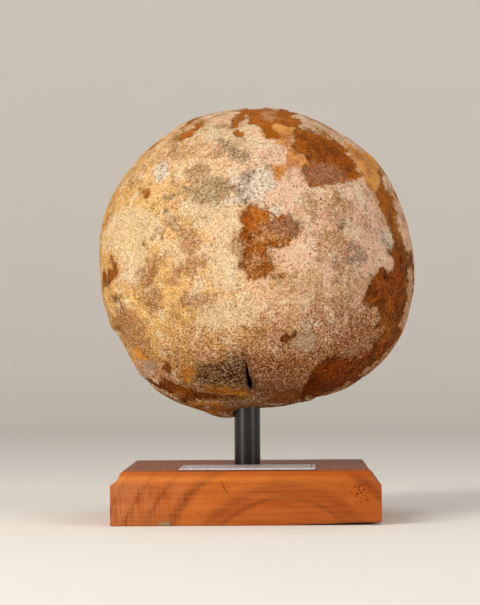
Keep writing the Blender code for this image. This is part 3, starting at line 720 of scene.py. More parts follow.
def crust_tree():
    """Relief on the bare form: the crust stands proud of bare bone, and has low lumps, grain and pits."""
    tree, given = new_tree(
        "weathered_crust", Crust_Thickness="Float", Ragged_Width="Float", Torn_Size="Float",
        Lump_Size="Float", Lump_Height="Float", Wave_Size="Float", Wave_Height="Float",
        Grain_Size="Float", Grain_Height="Float", Pit_Spacing="Float", Pit_Depth="Float",
        Seed="Int", Finish="Material",
    )
    clouds = {}
    sizes = (  # what the noise makes, its size and its detail
        ("torn", given["Torn Size"], 4.0), ("lumps", given["Lump Size"], 3.0),
        ("waves", given["Wave Size"], 2.0), ("grain", given["Grain Size"], 2.0),
    )
    for number, (name, size, detail) in enumerate(sizes):
        scale = add(tree, "ShaderNodeMath", (1.0, size), operation="DIVIDE")
        seed = add(tree, "ShaderNodeMath", (given["Seed"], number), operation="ADD")
        cloud = add(tree, "ShaderNodeTexNoise", {
            "W": seed, "Scale": scale, "Detail": detail, "Roughness": 0.6}, noise_dimensions="4D")
        clouds[name] = add(tree, "ShaderNodeMath", (cloud, 2.0, -1.0), operation="MULTIPLY_ADD")

    bare = add(tree, "GeometryNodeInputNamedAttribute", {"Name": "bare"}, data_type="FLOAT")
    ragged = (clouds["torn"], given["Ragged Width"], bare)
    edge = add(tree, "ShaderNodeMath", ragged, operation="MULTIPLY_ADD")
    step = 0.45  # mm either side of its edge in which the crust rises
    covered = add(tree, "ShaderNodeMapRange", (edge, step, -step), interpolation_type="SMOOTHSTEP")
    kept_grain = add(tree, "ShaderNodeMapRange", {0: covered, 3: 0.2})
    grain = add(tree, "ShaderNodeMath", (clouds["grain"], kept_grain), operation="MULTIPLY")

    # Round pits in the crust, in nearly two cells of five.
    spacing = add(tree, "ShaderNodeMath", (1.0, given["Pit Spacing"]), operation="DIVIDE")
    cells = add(tree, "ShaderNodeTexVoronoi", {
        "Scale": spacing, "W": given["Seed"]}, voronoi_dimensions="4D")
    chance = add(tree, "ShaderNodeSeparateXYZ", (cells.outputs["Color"],))
    chosen = add(tree, "ShaderNodeMath", (chance, 0.62), operation="GREATER_THAN")
    pit = add(tree, "ShaderNodeMapRange", (cells, 0.32, 0.12, 0.0, chosen), interpolation_type="SMOOTHSTEP")
    pit = add(tree, "ShaderNodeMath", (pit, covered), operation="MULTIPLY")
    sunk = add(tree, "ShaderNodeMath", (given["Pit Depth"], -1.0), operation="MULTIPLY")

    rise = add(tree, "ShaderNodeMath", (given["Crust Thickness"], -0.5), operation="MULTIPLY")
    for shape, height in (
        (covered, given["Crust Thickness"]), (clouds["lumps"], given["Lump Height"]),
        (clouds["waves"], given["Wave Height"]), (grain, given["Grain Height"]), (pit, sunk),
    ):
        rise = add(tree, "ShaderNodeMath", (shape, height, rise), operation="MULTIPLY_ADD")
    normal = add(tree, "GeometryNodeInputNormal")
    offset = add(tree, "ShaderNodeVectorMath", {0: normal, "Scale": rise}, operation="SCALE")

    kept = given["Geometry"]
    for name, value in (("bare", edge), ("pit", pit)):
        kept = add(tree, "GeometryNodeStoreNamedAttribute", {
            "Geometry": kept, "Name": name, "Value": value}, data_type="FLOAT", domain="POINT")
    moved = add(tree, "GeometryNodeSetPosition", {"Geometry": kept, "Offset": offset})
    real = add(tree, "GeometryNodeRealizeInstances", {"Geometry": moved})
    done = add(tree, "GeometryNodeSetMaterial", {"Geometry": real, "Material": given["Finish"]})
    add(tree, "NodeGroupOutput", {"Geometry": done})
    return tree


def ring_mesh(name, rings, segments):
    """A closed round bar on the Z axis through (radius, height) rings, from the bottom up."""
    shape = bmesh.new()
    rows = [round_row(shape, radius, height, segments) for radius, height in rings]
    join_rows(shape, rows)
    shape.faces.new(rows[0][::-1])
    shape.faces.new(rows[-1])
    return as_mesh(shape, name)


def crack_mesh():
    """A blade that runs straight back from the crack's mouth and narrows to a floor inside the bone."""
    mouth = np.array(CRACK) * MM
    across, up = mouth.T
    back = np.full(len(mouth), -0.5 * HEAD_MEAN)  # a first guess
    least = 10 * MM  # the mouth lies at least this far forward
    for _ in range(4):  # rounds that bring the mouth on to the bone's surface
        towards = np.stack([across, back, up], axis=1)
        radius = head_surface(towards / np.linalg.norm(towards, axis=1)[:, None])[0]
        back = -np.sqrt(np.maximum(radius**2 - across**2 - up**2, least**2))
    middle = mouth.mean(axis=0)
    shape = bmesh.new()
    rows = []
    for scale, inwards in ((1.0, -CRACK_CLEARANCE), (1.0, 0.0), (CRACK_TAPER, CRACK_DEPTH)):
        outline = middle + (mouth - middle) * scale
        places = zip(outline[:, 0], back + inwards, outline[:, 1])
        rows.append([shape.verts.new(HEAD_CENTRE + np.array(place)) for place in places])
    join_rows(shape, rows)
    shape.faces.new(rows[0])
    shape.faces.new(rows[-1])
    bmesh.ops.triangulate(shape, faces=shape.faces[:])
    bmesh.ops.recalc_face_normals(shape, faces=shape.faces[:])
    return as_mesh(shape, "crack")


def build_head(finish):
    """The ball of bone: its form, markings and crust, then the rod's socket and the crack cut into it."""
    directions, faces = even_directions(HEAD_DIVISIONS, FRONT_CLOSENESS)
    radius, on_plate, mounds = head_surface(directions)
    points = directions * radius[:, None]
    mesh = bpy.data.meshes.new("fossil_head")
    mesh.from_pydata((points + HEAD_CENTRE).tolist(), [], faces.tolist())
    marks = marking_depths(points, directions)
    marks["plate"] = on_plate
    marks["mound"] = mounds
    for name, values in marks.items():
        store(mesh, name, values)
    face_out(mesh)
    head = new_object("fossil_head", mesh)
    through_tree(head, crust_tree(), {
        "Crust Thickness": 0.7 * MM, "Ragged Width": 2.0, "Torn Size": 3.4 * MM, "Lump Size": 7 * MM,
        "Lump Height": 0.28 * MM, "Wave Size": 26 * MM, "Wave Height": 0.5 * MM, "Grain Size": 1.7 * MM,
        "Grain Height": 0.24 * MM, "Pit Spacing": 6.5 * MM, "Pit Depth": 0.5 * MM, "Seed": SEED,
        "Finish": finish,
    })
    socket = ring_mesh("socket", [(HOLE_RADIUS, SOCKET_START), (HOLE_RADIUS, ROD_HIGH.z + FIT_GAP)], 64)
    cutters = [new_object("socket", socket), new_object("crack", crack_mesh())]
    for tool in cutters:
        cut = head.modifiers.new("cut_" + tool.name, "BOOLEAN")
        cut.object = tool
    finished(head, "fossil_bone", "femoral_head")
    for tool in cutters:
        bpy.data.objects.remove(tool)
    at = np.empty(3 * len(head.data.vertices))
    head.data.vertices.foreach_get("co", at)
    at = at.reshape(-1, 3) - HEAD_CENTRE
    out = np.linalg.norm(at, axis=1)
    # How deep each point lies below the bone's form, for painted shade inside the crack and the socket.
    store(head.data, "hollow", smoothstep(head_surface(at / out[:, None])[0] - out, *SHADED_DEPTHS))
    smoothed(head.data, 65)


# ---------------------------------------------------------------- the stand


def soft_square(across, wide, corner):
    """Points on the front side of a square, from its left corner to its right one, corners rounded."""
    x = across * wide
    inner = wide - corner
    past = np.maximum(np.abs(x) - inner, 0.0)
    shrink = corner / np.hypot(past, corner)
    return np.sign(x) * (np.minimum(np.abs(x), inner) + past * shrink), -(inner + corner * shrink)


def plinth_quarter():
    """The front quarter of the block, mitred at its ends: socket, top, moulding, side and underside."""
    half = PLINTH_WIDTH / 2
    floor = ROD_LOW.z - FIT_GAP
    # The columns of points stand closer together near the rounded corners.
    near_corner = np.array((0.0, 0.27, 0.54, 0.9)) * MM / half
    across = np.concatenate([-1 + near_corner, np.linspace(-1, 1, 46)[2:-2], 1 - near_corner[::-1]])
    turn = across * math.pi / 4
    arc = np.stack([np.sin(turn), -np.cos(turn)], axis=1)
    rows = []
    for radius, height in ((0.0, floor), (HOLE_RADIUS, floor), (HOLE_RADIUS, PLINTH_HEIGHT - HOLE_EASE)):
        rows.append((arc * radius, height))
    profile = np.array(MOULDING) * MM
    fine = []
    for start, end in zip(profile, profile[1:]):
        fine.extend(start + (end - start) * share for share in (0.0, 0.5))
    fine.append(profile[-1])
    top_width = half - fine[-1][0] - TOP_INSET
    square = np.stack(soft_square(across, top_width, TOP_CORNER), axis=1)
    for share in np.linspace(0, 1, 14):
        rows.append((arc * (HOLE_RADIUS + HOLE_EASE) * (1 - share) + square * share, PLINTH_HEIGHT))
    for inset, height in reversed(fine):
        height = min(height, PLINTH_HEIGHT - TOP_EASE)
        rows.append((np.stack(soft_square(across, half - inset, PLINTH_CORNER), axis=1), height))
    for height in np.linspace(17.4, 0.5, 12) * MM:  # down the side
        rows.append((np.stack(soft_square(across, half, PLINTH_CORNER), axis=1), height))
    under = np.stack(soft_square(across, half - FOOT_EASE, PLINTH_CORNER), axis=1)
    for share in np.linspace(1, 0, 10):  # and in to the middle underneath
        rows.append((under * share, 0.0))
    count = len(across)
    points = [(x, y, height) for places, height in rows for x, y in places]
    faces = []
    for row in range(len(rows) - 1):
        for column in range(count - 1):
            at = row * count + column
            faces.append((at, at + 1, at + count + 1, at + count))
    mesh = bpy.data.meshes.new("plinth_quarter")
    mesh.from_pydata(points, [], faces)
    return mesh


def plinth_tree():
    """Turns a mitred quarter into the whole block, wears its faces and lifts its front right corner."""
    tree, given = new_tree("moulded_block", Sides="Int", Wear_Size="Float", Wear_Depth="Float",
                           Corner_Lift="Float", Seed="Int", Finish="Material")
    copies = add(tree, "GeometryNodeMeshLine", {"Count": given["Sides"], "Offset": (0, 0, 0)})
    step = add(tree, "ShaderNodeMath", (2 * math.pi, given["Sides"]), operation="DIVIDE")
    turn = add(tree, "ShaderNodeMath", (add(tree, "GeometryNodeInputIndex"), step), operation="MULTIPLY")
    rotation = add(tree, "ShaderNodeCombineXYZ", {2: turn})
    ring = add(tree, "GeometryNodeInstanceOnPoints", {
        "Points": copies, "Instance": given["Geometry"], "Rotation": rotation})
    whole = add(tree, "GeometryNodeRealizeInstances", {"Geometry": ring})
    joined = add(tree, "GeometryNodeMergeByDistance", {"Geometry": whole, "Distance": 0.02 * MM})

    place = add(tree, "ShaderNodeSeparateXYZ", (add(tree, "GeometryNodeInputPosition"),))
    x, y, z = place.outputs
    scale = add(tree, "ShaderNodeMath", (1.0, given["Wear Size"]), operation="DIVIDE")
    cloud = add(tree, "ShaderNodeTexNoise", {
        "W": given["Seed"], "Scale": scale, "Detail": 3.0}, noise_dimensions="4D")
    wear = add(tree, "ShaderNodeMath", (cloud, -0.5), operation="ADD")
    # The underside stays flat.
    off_floor = add(tree, "ShaderNodeMapRange", (z, 0.4 * MM, 2 * MM, 0.0, given["Wear Depth"]))
    worn = add(tree, "ShaderNodeMath", (wear, off_floor), operation="MULTIPLY")
    normal = add(tree, "GeometryNodeInputNormal")
    offset = add(tree, "ShaderNodeVectorMath", {0: normal, "Scale": worn}, operation="SCALE")
    rough = add(tree, "GeometryNodeSetPosition", {"Geometry": joined, "Offset": offset})

    half = PLINTH_WIDTH / 2
    lift = given["Corner Lift"]
    for along, start, end in ((x, TWIST_START[0], half), (y, TWIST_START[1], -half), (z, TWIST_TOP, 0.0)):
        lift = add(tree, "ShaderNodeMapRange", (along, start, end, 0.0, lift))
    lift = add(tree, "ShaderNodeCombineXYZ", {2: lift})
    twisted = add(tree, "GeometryNodeSetPosition", {"Geometry": rough, "Offset": lift})
    done = add(tree, "GeometryNodeSetMaterial", {"Geometry": twisted, "Material": given["Finish"]})
    add(tree, "NodeGroupOutput", {"Geometry": done})
    return tree


def build_plinth(finish):
    """The moulded block, made whole, worn and twisted by its tree."""
    plinth = new_object("moulded_plinth", plinth_quarter())
    through_tree(plinth, plinth_tree(), {
        "Sides": 4, "Wear Size": 14 * MM, "Wear Depth": 0.35 * MM, "Corner Lift": TWIST_LIFT,
        "Seed": SEED, "Finish": finish,
    })
    finished(plinth, "oiled_wood", "plinth")
    face_out(plinth.data)
    smoothed(plinth.data, 38)


def build_rod(finish):
    """A drawn round bar with small rounded arrises."""
    soft = 0.7 * MM
    rings = [(ROD_RADIUS - soft, ROD_LOW.z)]
    for step in range(1, 6):
        turn = math.pi / 2 * step / 5
        rings.append((ROD_RADIUS - soft + soft * math.sin(turn), ROD_LOW.z + soft - soft * math.cos(turn)))
    rings += [(radius, ROD_LOW.z + ROD_HIGH.z - height) for radius, height in reversed(rings)]
    mesh = ring_mesh("steel_rod", rings, 96)
    mesh.materials.append(finish)
    rod = finished(new_object("steel_rod", mesh), "black_steel", "support_rod")
    smoothed(rod.data, 50)


def build_label(finish):
    """A stiff card with rounded corners and soft edges."""
    wide, deep, thick = LABEL_SIZE
    corner = 0.7 * MM
    outline = []
    for centre_x, centre_y, start in ((1, 1, 0), (-1, 1, 90), (-1, -1, 180), (1, -1, 270)):
        for step in range(5):
            turn = math.radians(start + 90 * step / 4)
            outline.append((
                centre_x * (wide / 2 - corner) + corner * math.cos(turn),
                centre_y * (deep / 2 - corner) + corner * math.sin(turn),
            ))
    shape = bmesh.new()
    face = shape.faces.new([shape.verts.new((x, y, 0.0)) for x, y in outline])
    made = bmesh.ops.extrude_face_region(shape, geom=[face])
    top = [item for item in made["geom"] if isinstance(item, bmesh.types.BMVert)]
    bmesh.ops.translate(shape, verts=top, vec=(0, 0, thick))
    bmesh.ops.recalc_face_normals(shape, faces=shape.faces[:])
    mesh = as_mesh(shape, "label_plate")
    mesh.transform(Matrix.Translation((*LABEL_CENTRE, LABEL_FOOT)) @ Matrix.Rotation(LABEL_TURN, 4, "Z"))
    mesh.materials.append(finish)
    label = new_object("label_plate", mesh)
    edges = label.modifiers.new("soft_edges", "BEVEL")
    edges.width = 0.15 * MM
    edges.segments = 2
    edges.limit_method = "ANGLE"
    finished(label, "label_card", "label_card")
    smoothed(label.data, 40)


# ---------------------------------------------------------------- materials


def new_material(name):
    """A material with its tree, its shader, and the place of each point on the object in metres."""
    made = bpy.data.materials.new(name)
    made.use_nodes = True
    tree = made.node_tree
    return made, tree, tree.nodes["Principled BSDF"], add(tree, "ShaderNodeTexCoord").outputs["Object"]


def finish_shader(tree, shader, colour, relief, roughness, ior, specular):
    """Feeds a shader its colour, relief in metres and roughness, and sets what is the same all over."""
    bump = add(tree, "ShaderNodeBump", {"Height": relief, "Distance": 1.0, "Strength": 1.0})
    for name, node in (("Base Color", colour), ("Normal", bump), ("Roughness", roughness)):
        tree.links.new(next(socket for socket in node.outputs if socket.enabled), shader.inputs[name])
    shader.inputs["IOR"].default_value = ior
    shader.inputs["Specular IOR Level"].default_value = specular


def crust_colour(tree, place, x, height, drift):
    """Golden on the left and pinker to the right, partly painted warm light from the left; browner at the
    foot, partly painted shade; mottled at every scale, with pores.
    """
    rightness = add(tree, "ShaderNodeMath", (drift, 50 * MM, x), operation="MULTIPLY_ADD")
    rightness = add(tree, "ShaderNodeMath", (height, 0.35, rightness), operation="MULTIPLY_ADD")
    # Golden at the left, pinker at the right: partly the bone's colour, partly painted warm light from the
    # left.
    colour = tinted(tree, "#fccb7a", "#ffd4b8", rightness, 12 * MM, 116 * MM)
    # Browner towards the foot: partly the bone's colour, partly painted shade.
    colour = tinted(tree, colour, "#a46020", height, 118 * MM, 62 * MM, 0.86)
    colour = tinted(tree, colour, "#d08c34", x, -52 * MM, -78 * MM, 0.6)
    mottles = (  # size in mm, where its noise starts to show and shows fully, colour, strength
        (26, 0.48, 0.60, "#c89c54", 0.55),
        (17, 0.54, 0.59, "#e0a286", 0.46),
        (13, 0.50, 0.61, "#b8824a", 0.58),
        (9, 0.55, 0.59, "#fdeac6", 0.60),
        (6, 0.57, 0.61, "#b4825a", 0.50),
        (5, 0.58, 0.67, "#eab040", 0.40),
        (4, 0.56, 0.67, "#f7dcc6", 0.62),
        (3, 0.57, 0.67, "#8a5a2a", 0.60),
    )
    for number, (size, start, end, tint, strength) in enumerate(mottles):
        cloud = add(tree, "ShaderNodeTexNoise", {
            "Vector": place, "W": number, "Scale": 1 / (size * MM), "Detail": 5.0, "Roughness": 0.68,
        }, noise_dimensions="4D")
        colour = tinted(tree, colour, tint, cloud, start, end, strength)

    # Two pores in five of those the pattern has room for are open, about a millimetre wide.
    pores = add(tree, "ShaderNodeTexVoronoi", {"Vector": place, "Scale": 1 / (3.1 * MM)})
    chance = add(tree, "ShaderNodeSeparateColor", (pores.outputs["Color"],))
    open_pore = add(tree, "ShaderNodeMapRange", (chance, 0.58, 0.62, 0.0, 0.58))
    colour = tinted(tree, colour, "#52341a", pores, 0.24, 0.10, open_pore)
    sunk = add(tree, "ShaderNodeAttribute", attribute_name="pit").outputs["Fac"]
    return tinted(tree, colour, "#7a5430", sunk, 0.0, 1.0, 0.45)


def coated(tree, place, colour, x, z, height, clouds, tone):
    """Lays stains, coats and some painted shade over a colour, and says how much of each there is at every
    place.

    Each follows a marking, and frays out at its edge into flecks and single grains.
    """
    aslant = add(tree, "ShaderNodeMath", (z, x), operation="SUBTRACT")
    upright = add(tree, "ShaderNodeMapping", {
        "Vector": place, "Location": (0, 0, -HEAD_CENTRE[2]), "Scale": (1, 0, 1)})
    rimward = add(tree, "ShaderNodeVectorMath", (upright,), operation="LENGTH")
    dusted = add(tree, "ShaderNodeMapRange", (rimward, 34 * MM, 54 * MM, 0.58, 0.02))
    lit = add(tree, "ShaderNodeMapRange", (clouds["breaks"], 0.46, 0.60, 0.0, 0.5))
    shadow = add(tree, "ShaderNodeMapRange", (clouds["breaks"], 0.42, 0.60, 0.0, 0.6))
    # Marking, cloud that shades it, pale and dark colour, softness, raggedness and speckle in mm, strength.
    coats = (
        ("cream", "flecks", "#ffecca", "#f6d8a8", 2.4, 14.0, 2.5, 0.60),
        ("tea", "flecks", "#c8824a", "#8c522a", 1.6, 14.0, 2.0, 0.66),
        ("grey", "flecks", "#b69e76", "#64513a", 1.6, 14.0, 2.0, 0.68),
        ("amber", "sandy", "#ffb234", "#c66c10", 1.1, 9.0, 2.4, 0.86),
        ("chalk", "flecks", "#fff2e2", "#dcc2a4", 0.3, 10.0, 2.0, 0.92),
        ("bare", "fibres", "#9a560c", "#542804", 0.25, 8.0, 1.8, 0.98),
        ("deep", "fibres", "#903f04", "#522302", 1.8, 10.0, 0.5, 0.62),
        ("dust", "flecks", "#d4ab80", "#98683a", 0.8, 18.0, 3.5, 0.60),
        ("mauve", "flecks", "#a88068", "#6c4a38", 1.2, 12.0, 1.4, 0.64),
        # Dark soot, and painted shade in the left hollow, round the crack and beside the right flake.
        ("soot_and_shade", "flecks", "#86582e", "#2a1506", 1.4, 12.0, 3.5, 0.80),
    )
    changes = {  # tints within a coat: colour, what it follows, where it starts and is full, strength
        "amber": (("#8c4210", aslant, 64 * MM, 54 * MM, 0.85),),
        "chalk": (
            ("#6a4a2e", clouds["flecks"], 0.46, 0.38, 0.85),
            ("#c8a282", height, 110 * MM, 80 * MM, 0.8),
        ),
        "bare": (
            # Darker towards the foot, partly painted shade; more orange towards the top.
            ("#6a2a02", height, 100 * MM, 60 * MM, 0.66),
            ("#b86c0c", clouds["sandy"], 0.50, 0.66, 0.35),
            ("#c46c0e", height, 118 * MM, 150 * MM, 0.5),
            ("#c08a4e", clouds["flecks"], 0.54, 0.68, dusted),
            ("#3c1f08", clouds["grit"], 0.42, 0.30, 0.6),
        ),
    }
    cover = {}
    for number, (name, shade, pale, dark, soft, ragged, speckle, strength) in enumerate(coats):
        mark = add(tree, "ShaderNodeAttribute", attribute_name=name).outputs["Fac"]
        cloud = add(tree, "ShaderNodeTexNoise", {
            "Vector": place, "W": 30 + number, "Scale": 1 / (4.5 * MM), "Detail": 7.0, "Roughness": 0.76,
        }, noise_dimensions="4D")
        edge = add(tree, "ShaderNodeMath", (cloud, 2 * ragged, mark), operation="MULTIPLY_ADD")
        edge = add(tree, "ShaderNodeMath", (tone, speckle, edge), operation="MULTIPLY_ADD")
        edge = add(tree, "ShaderNodeMath", (edge, ragged + 0.5 * speckle), operation="SUBTRACT")
        coat = tinted(tree, dark, pale, clouds[shade], 0.36, 0.64)
        for change in changes.get(name, ()):
            coat = tinted(tree, coat, *change)
        if name == "bare":  # the broken rim of the crust round it catches light and throws a shadow
            colour = tinted(tree, colour, "#f0bc78", edge, -4.0, -0.7, lit)
            coat = tinted(tree, coat, "#4a2408", edge, 1.1, 0.2, shadow)
        if name == "deep":  # it is a stain in bare bone alone
            strength = add(tree, "ShaderNodeMath", (cover["bare"], strength), operation="MULTIPLY")
        colour = tinted(tree, colour, coat, edge, -soft, soft, strength)
        cover[name] = add(tree, "ShaderNodeMapRange", (edge, -soft, soft), interpolation_type="SMOOTHSTEP")
    return colour, cover


def sand_grained(tree, colour, x, height, clouds, tone, cover):
    """Gives a colour sand grains of many tones, with warm dark gaps between them, partly painted highlights
    on the grains and painted shade between them.

    They stand out most at the foot, and least on smooth bone, amber, chalk and the left flank.
    """
    grain = add(tree, "ShaderNodeMapRange", (tone, 0.0, 1.0, 0.55, 1.46))
    for name, start, end, darkest in (("grit", 0.44, 0.32, 0.40), ("specks", 0.58, 0.67, 0.28)):
        gap = add(tree, "ShaderNodeMapRange", (clouds[name], start, end, 1.0, darkest))
        grain = add(tree, "ShaderNodeMath", (grain, gap), operation="MULTIPLY")
    sandy = add(tree, "ShaderNodeMapRange", (clouds["sandy"], 0.36, 0.62, 0.65, 1.12))
    low = add(tree, "ShaderNodeMapRange", (height, 102 * MM, 70 * MM, 0.0, 1.15))
    sandy = add(tree, "ShaderNodeMath", (sandy, low), operation="ADD")
    smoother = (  # what wears the sand down, where that starts and is full, and how much is left
        (cover["bare"], 0.0, 1.0, 0.6),
        (cover["amber"], 0.0, 1.0, 0.35),
        (cover["chalk"], 0.0, 1.0, 0.6),
        (x, -60 * MM, -77 * MM, 0.45),
    )
    for worn, start, end, left in smoother:
        less = add(tree, "ShaderNodeMapRange", (worn, start, end, 1.0, left))
        sandy = add(tree, "ShaderNodeMath", (sandy, less), operation="MULTIPLY")
    grain = add(tree, "ShaderNodeMath", (grain, sandy), operation="POWER")

    # Pale grains, partly painted glints where grains catch the light, more towards the top.
    pale_grains_and_glints = add(tree, "ShaderNodeMapRange", (height, 74 * MM, 110 * MM, 0.10, 0.30))
    crusted = add(tree, "ShaderNodeMapRange", {0: cover["bare"], 3: 1.0, 4: 0.15})
    pale_grains_and_glints = add(tree, "ShaderNodeMath", (pale_grains_and_glints, crusted), operation="MULTIPLY")
    colour = tinted(tree, colour, "#ffe8c2", tone, 0.60, 1.0, pale_grains_and_glints)
    # Dark grains turn deeper and warmer, pale ones lighter: painted warm shade between the grains and light
    # on them.
    half = add(tree, "ShaderNodeMath", (grain,), operation="SQRT")
    grain_shade_gamma = add(tree, "ShaderNodeMath", (1.0, half), operation="DIVIDE")
    colour = add(tree, "ShaderNodeGamma", (colour, grain_shade_gamma))
    return add(tree, "ShaderNodeVectorMath", {0: colour, "Scale": half}, operation="SCALE")


def fossil_bone():
    """Mineralised bone: a dry sandy crust with dark pores, worn through to smooth, waxy brown bone."""
    made, tree, shader, place = new_material("mineralised bone under a sandy crust")
    x, _, z = add(tree, "ShaderNodeSeparateXYZ", (place,)).outputs
    height = add(tree, "ShaderNodeMath", (x, -0.2, z), operation="MULTIPLY_ADD")
    clouds = {}
    sizes = (  # what the noise makes, its size in mm, detail and roughness
        ("drift", 30, 3, 0.5), ("sandy", 14, 4, 0.6), ("grit", 1.5, 6, 0.8), ("specks", 0.8, 2, 0.6),
        ("fibres", 7, 6, 0.68), ("flecks", 1.6, 4, 0.7), ("breaks", 2.5, 3, 0.5),
    )
    for number, (name, size, detail, roughness) in enumerate(sizes):
        clouds[name] = add(tree, "ShaderNodeTexNoise", {
            "Vector": place, "W": 20 + number, "Scale": 1 / (size * MM), "Detail": detail,
            "Roughness": roughness}, noise_dimensions="4D")

    # The sand is about 0.2 mm across. Its grains are drawn at 0.55 mm, as coarse as they need to show.
    grains = add(tree, "ShaderNodeTexVoronoi", {"Vector": place, "Scale": 1 / (0.55 * MM)})
    tone = add(tree, "ShaderNodeSeparateColor", (grains.outputs["Color"],))

    colour = crust_colour(tree, place, x, height, clouds["drift"])
    colour, cover = coated(tree, place, colour, x, z, height, clouds, tone)
    colour = sand_grained(tree, colour, x, height, clouds, tone, cover)
    bare = cover["bare"]
    marks = {}
    for name in ("hollow", "line", "plate", "mound"):
        marks[name] = add(tree, "ShaderNodeAttribute", attribute_name=name).outputs["Fac"]

    # The crack and the socket are darkened inside by painted shade. Chips of crust have a broken brown line
    # round them.
    colour = tinted(tree, colour, "#1a0e06", marks["hollow"], 0.2, 0.8, 0.97)
    colour = tinted(tree, colour, "#b79c86", marks["line"], -0.1, 0.3, 0.4)
    rim = add(tree, "ShaderNodeMath", (marks["line"],), operation="ABSOLUTE")
    broken = add(tree, "ShaderNodeMapRange", (clouds["breaks"], 0.42, 0.60, 0.0, 0.8))
    colour = tinted(tree, colour, "#6b4020", rim, 0.7, 0.1, broken)

    # The growth plate is browner between its mounds.
    valley = add(tree, "ShaderNodeMath", (marks["plate"], 0.6), operation="MULTIPLY")
    colour = tinted(tree, colour, "#7c5430", marks["mound"], 0.75, 0.15, valley)

    # Crust is rough with grit. Bare bone has a waxy sheen, less grit and shallow furrows along its fibres.
    roughness = add(tree, "ShaderNodeMapRange", {0: bare, 3: 0.92, 4: 0.58})
    grit = add(tree, "ShaderNodeMath", (tone, 0.12, clouds["grit"]), operation="MULTIPLY_ADD")
    rise = add(tree, "ShaderNodeMapRange", {0: bare, 3: 1.9 * MM, 4: 0.6 * MM})
    crust = add(tree, "ShaderNodeMapRange", {0: bare, 3: 0.35 * MM, 4: 0.0})
    furrow = add(tree, "ShaderNodeMapRange", {0: bare, 3: 0.0, 4: 0.5 * MM})
    relief = add(tree, "ShaderNodeMath", (grit, rise, crust), operation="MULTIPLY_ADD")
    relief = add(tree, "ShaderNodeMath", (clouds["fibres"], furrow, relief), operation="MULTIPLY_ADD")
    finish_shader(tree, shader, colour, relief, roughness, ior=1.54, specular=0.01)
    return made


def growth_rings(tree, place, waves):
    """Brown rings round the tree's heart, which runs front to back, below and right of the middle."""
    heart = add(tree, "ShaderNodeMapping", {
        "Vector": place, "Location": (-17.8 * MM, 0, 27 * MM), "Scale": (1, 0, 1)})
    out = add(tree, "ShaderNodeVectorMath", (heart,), operation="LENGTH")
    wavy = add(tree, "ShaderNodeMath", (waves, 3 * MM, out), operation="MULTIPLY_ADD")
    ring = add(tree, "ShaderNodeMath", (wavy, 100 * MM), operation="DIVIDE")
    ramp = add(tree, "ShaderNodeValToRGB", (ring,))
    stops = (  # (distance from the heart in mm, colour)
        (28, "#a9541f"), (38, "#b05a22"), (40, "#80401a"), (41.4, "#a6531e"), (45, "#914a1f"),
        (49, "#b66224"), (57, "#ba6222"), (60, "#7c3c14"), (64, "#b05c26"), (68.8, "#a9561f"),
        (70.6, "#7e3c14"), (72.4, "#ac5a24"), (77.6, "#a5551f"), (79.4, "#7e3c14"),
        (81.2, "#ae5e2c"), (86, "#a65a2e"), (88, "#884822"), (90, "#b3683c"),
    )
    marks = ramp.color_ramp.elements
    while len(marks) < len(stops):
        marks.new(0.5)
    middle_wave = 1.5  # mm that the waves add on average
    for mark, (at, colour) in zip(marks, stops):
        mark.position = (at + middle_wave) / 100
        mark.color = linear(colour)
    thin = add(tree, "ShaderNodeMath", (wavy, 1.05 * MM), operation="PINGPONG")
    thin = add(tree, "ShaderNodeMath", (thin, 1 / MM), operation="MULTIPLY")
    return tinted(tree, ramp, "#7d3a12", thin, 0.45, 1.0, 0.12)


def worn_front(tree, place, colour, specks):
    """A short slanting check, dark specks near the right end and a pale chip at the foot."""
    away = {}
    places = (  # what is there, its place across and up in mm, its lean in degrees, its half sizes in mm
        ("check", -9.9, 17.8, -27, (0.24, 9, 3.7)),
        ("specks", 54, 16, 0, (6.5, 9, 7)),
        ("chip", -38, 0.9, 0, (2.8, 3, 1.4)),
    )
    for name, across, up, lean, sizes in places:
        centred = add(tree, "ShaderNodeMapping", {
            "Vector": place, "Location": (across * MM, -PLINTH_WIDTH / 2, up * MM),
            "Rotation": (0, math.radians(lean), 0), "Scale": Vector(sizes) * MM}, vector_type="TEXTURE")
        away[name] = add(tree, "ShaderNodeVectorMath", (centred,), operation="LENGTH")
    colour = tinted(tree, colour, "#421804", away["check"], 1.3, 0.7, 0.72)
    speckled = add(tree, "ShaderNodeMapRange", (away["specks"], 1.0, 0.5, 0.0, 0.85))
    colour = tinted(tree, colour, "#5a1a06", specks, 0.54, 0.60, speckled)
    frayed = add(tree, "ShaderNodeMath", (specks, 4, away["chip"]), operation="MULTIPLY_ADD")
    return tinted(tree, colour, "#7e7c5e", frayed, 3.0, 2.7, 0.8)


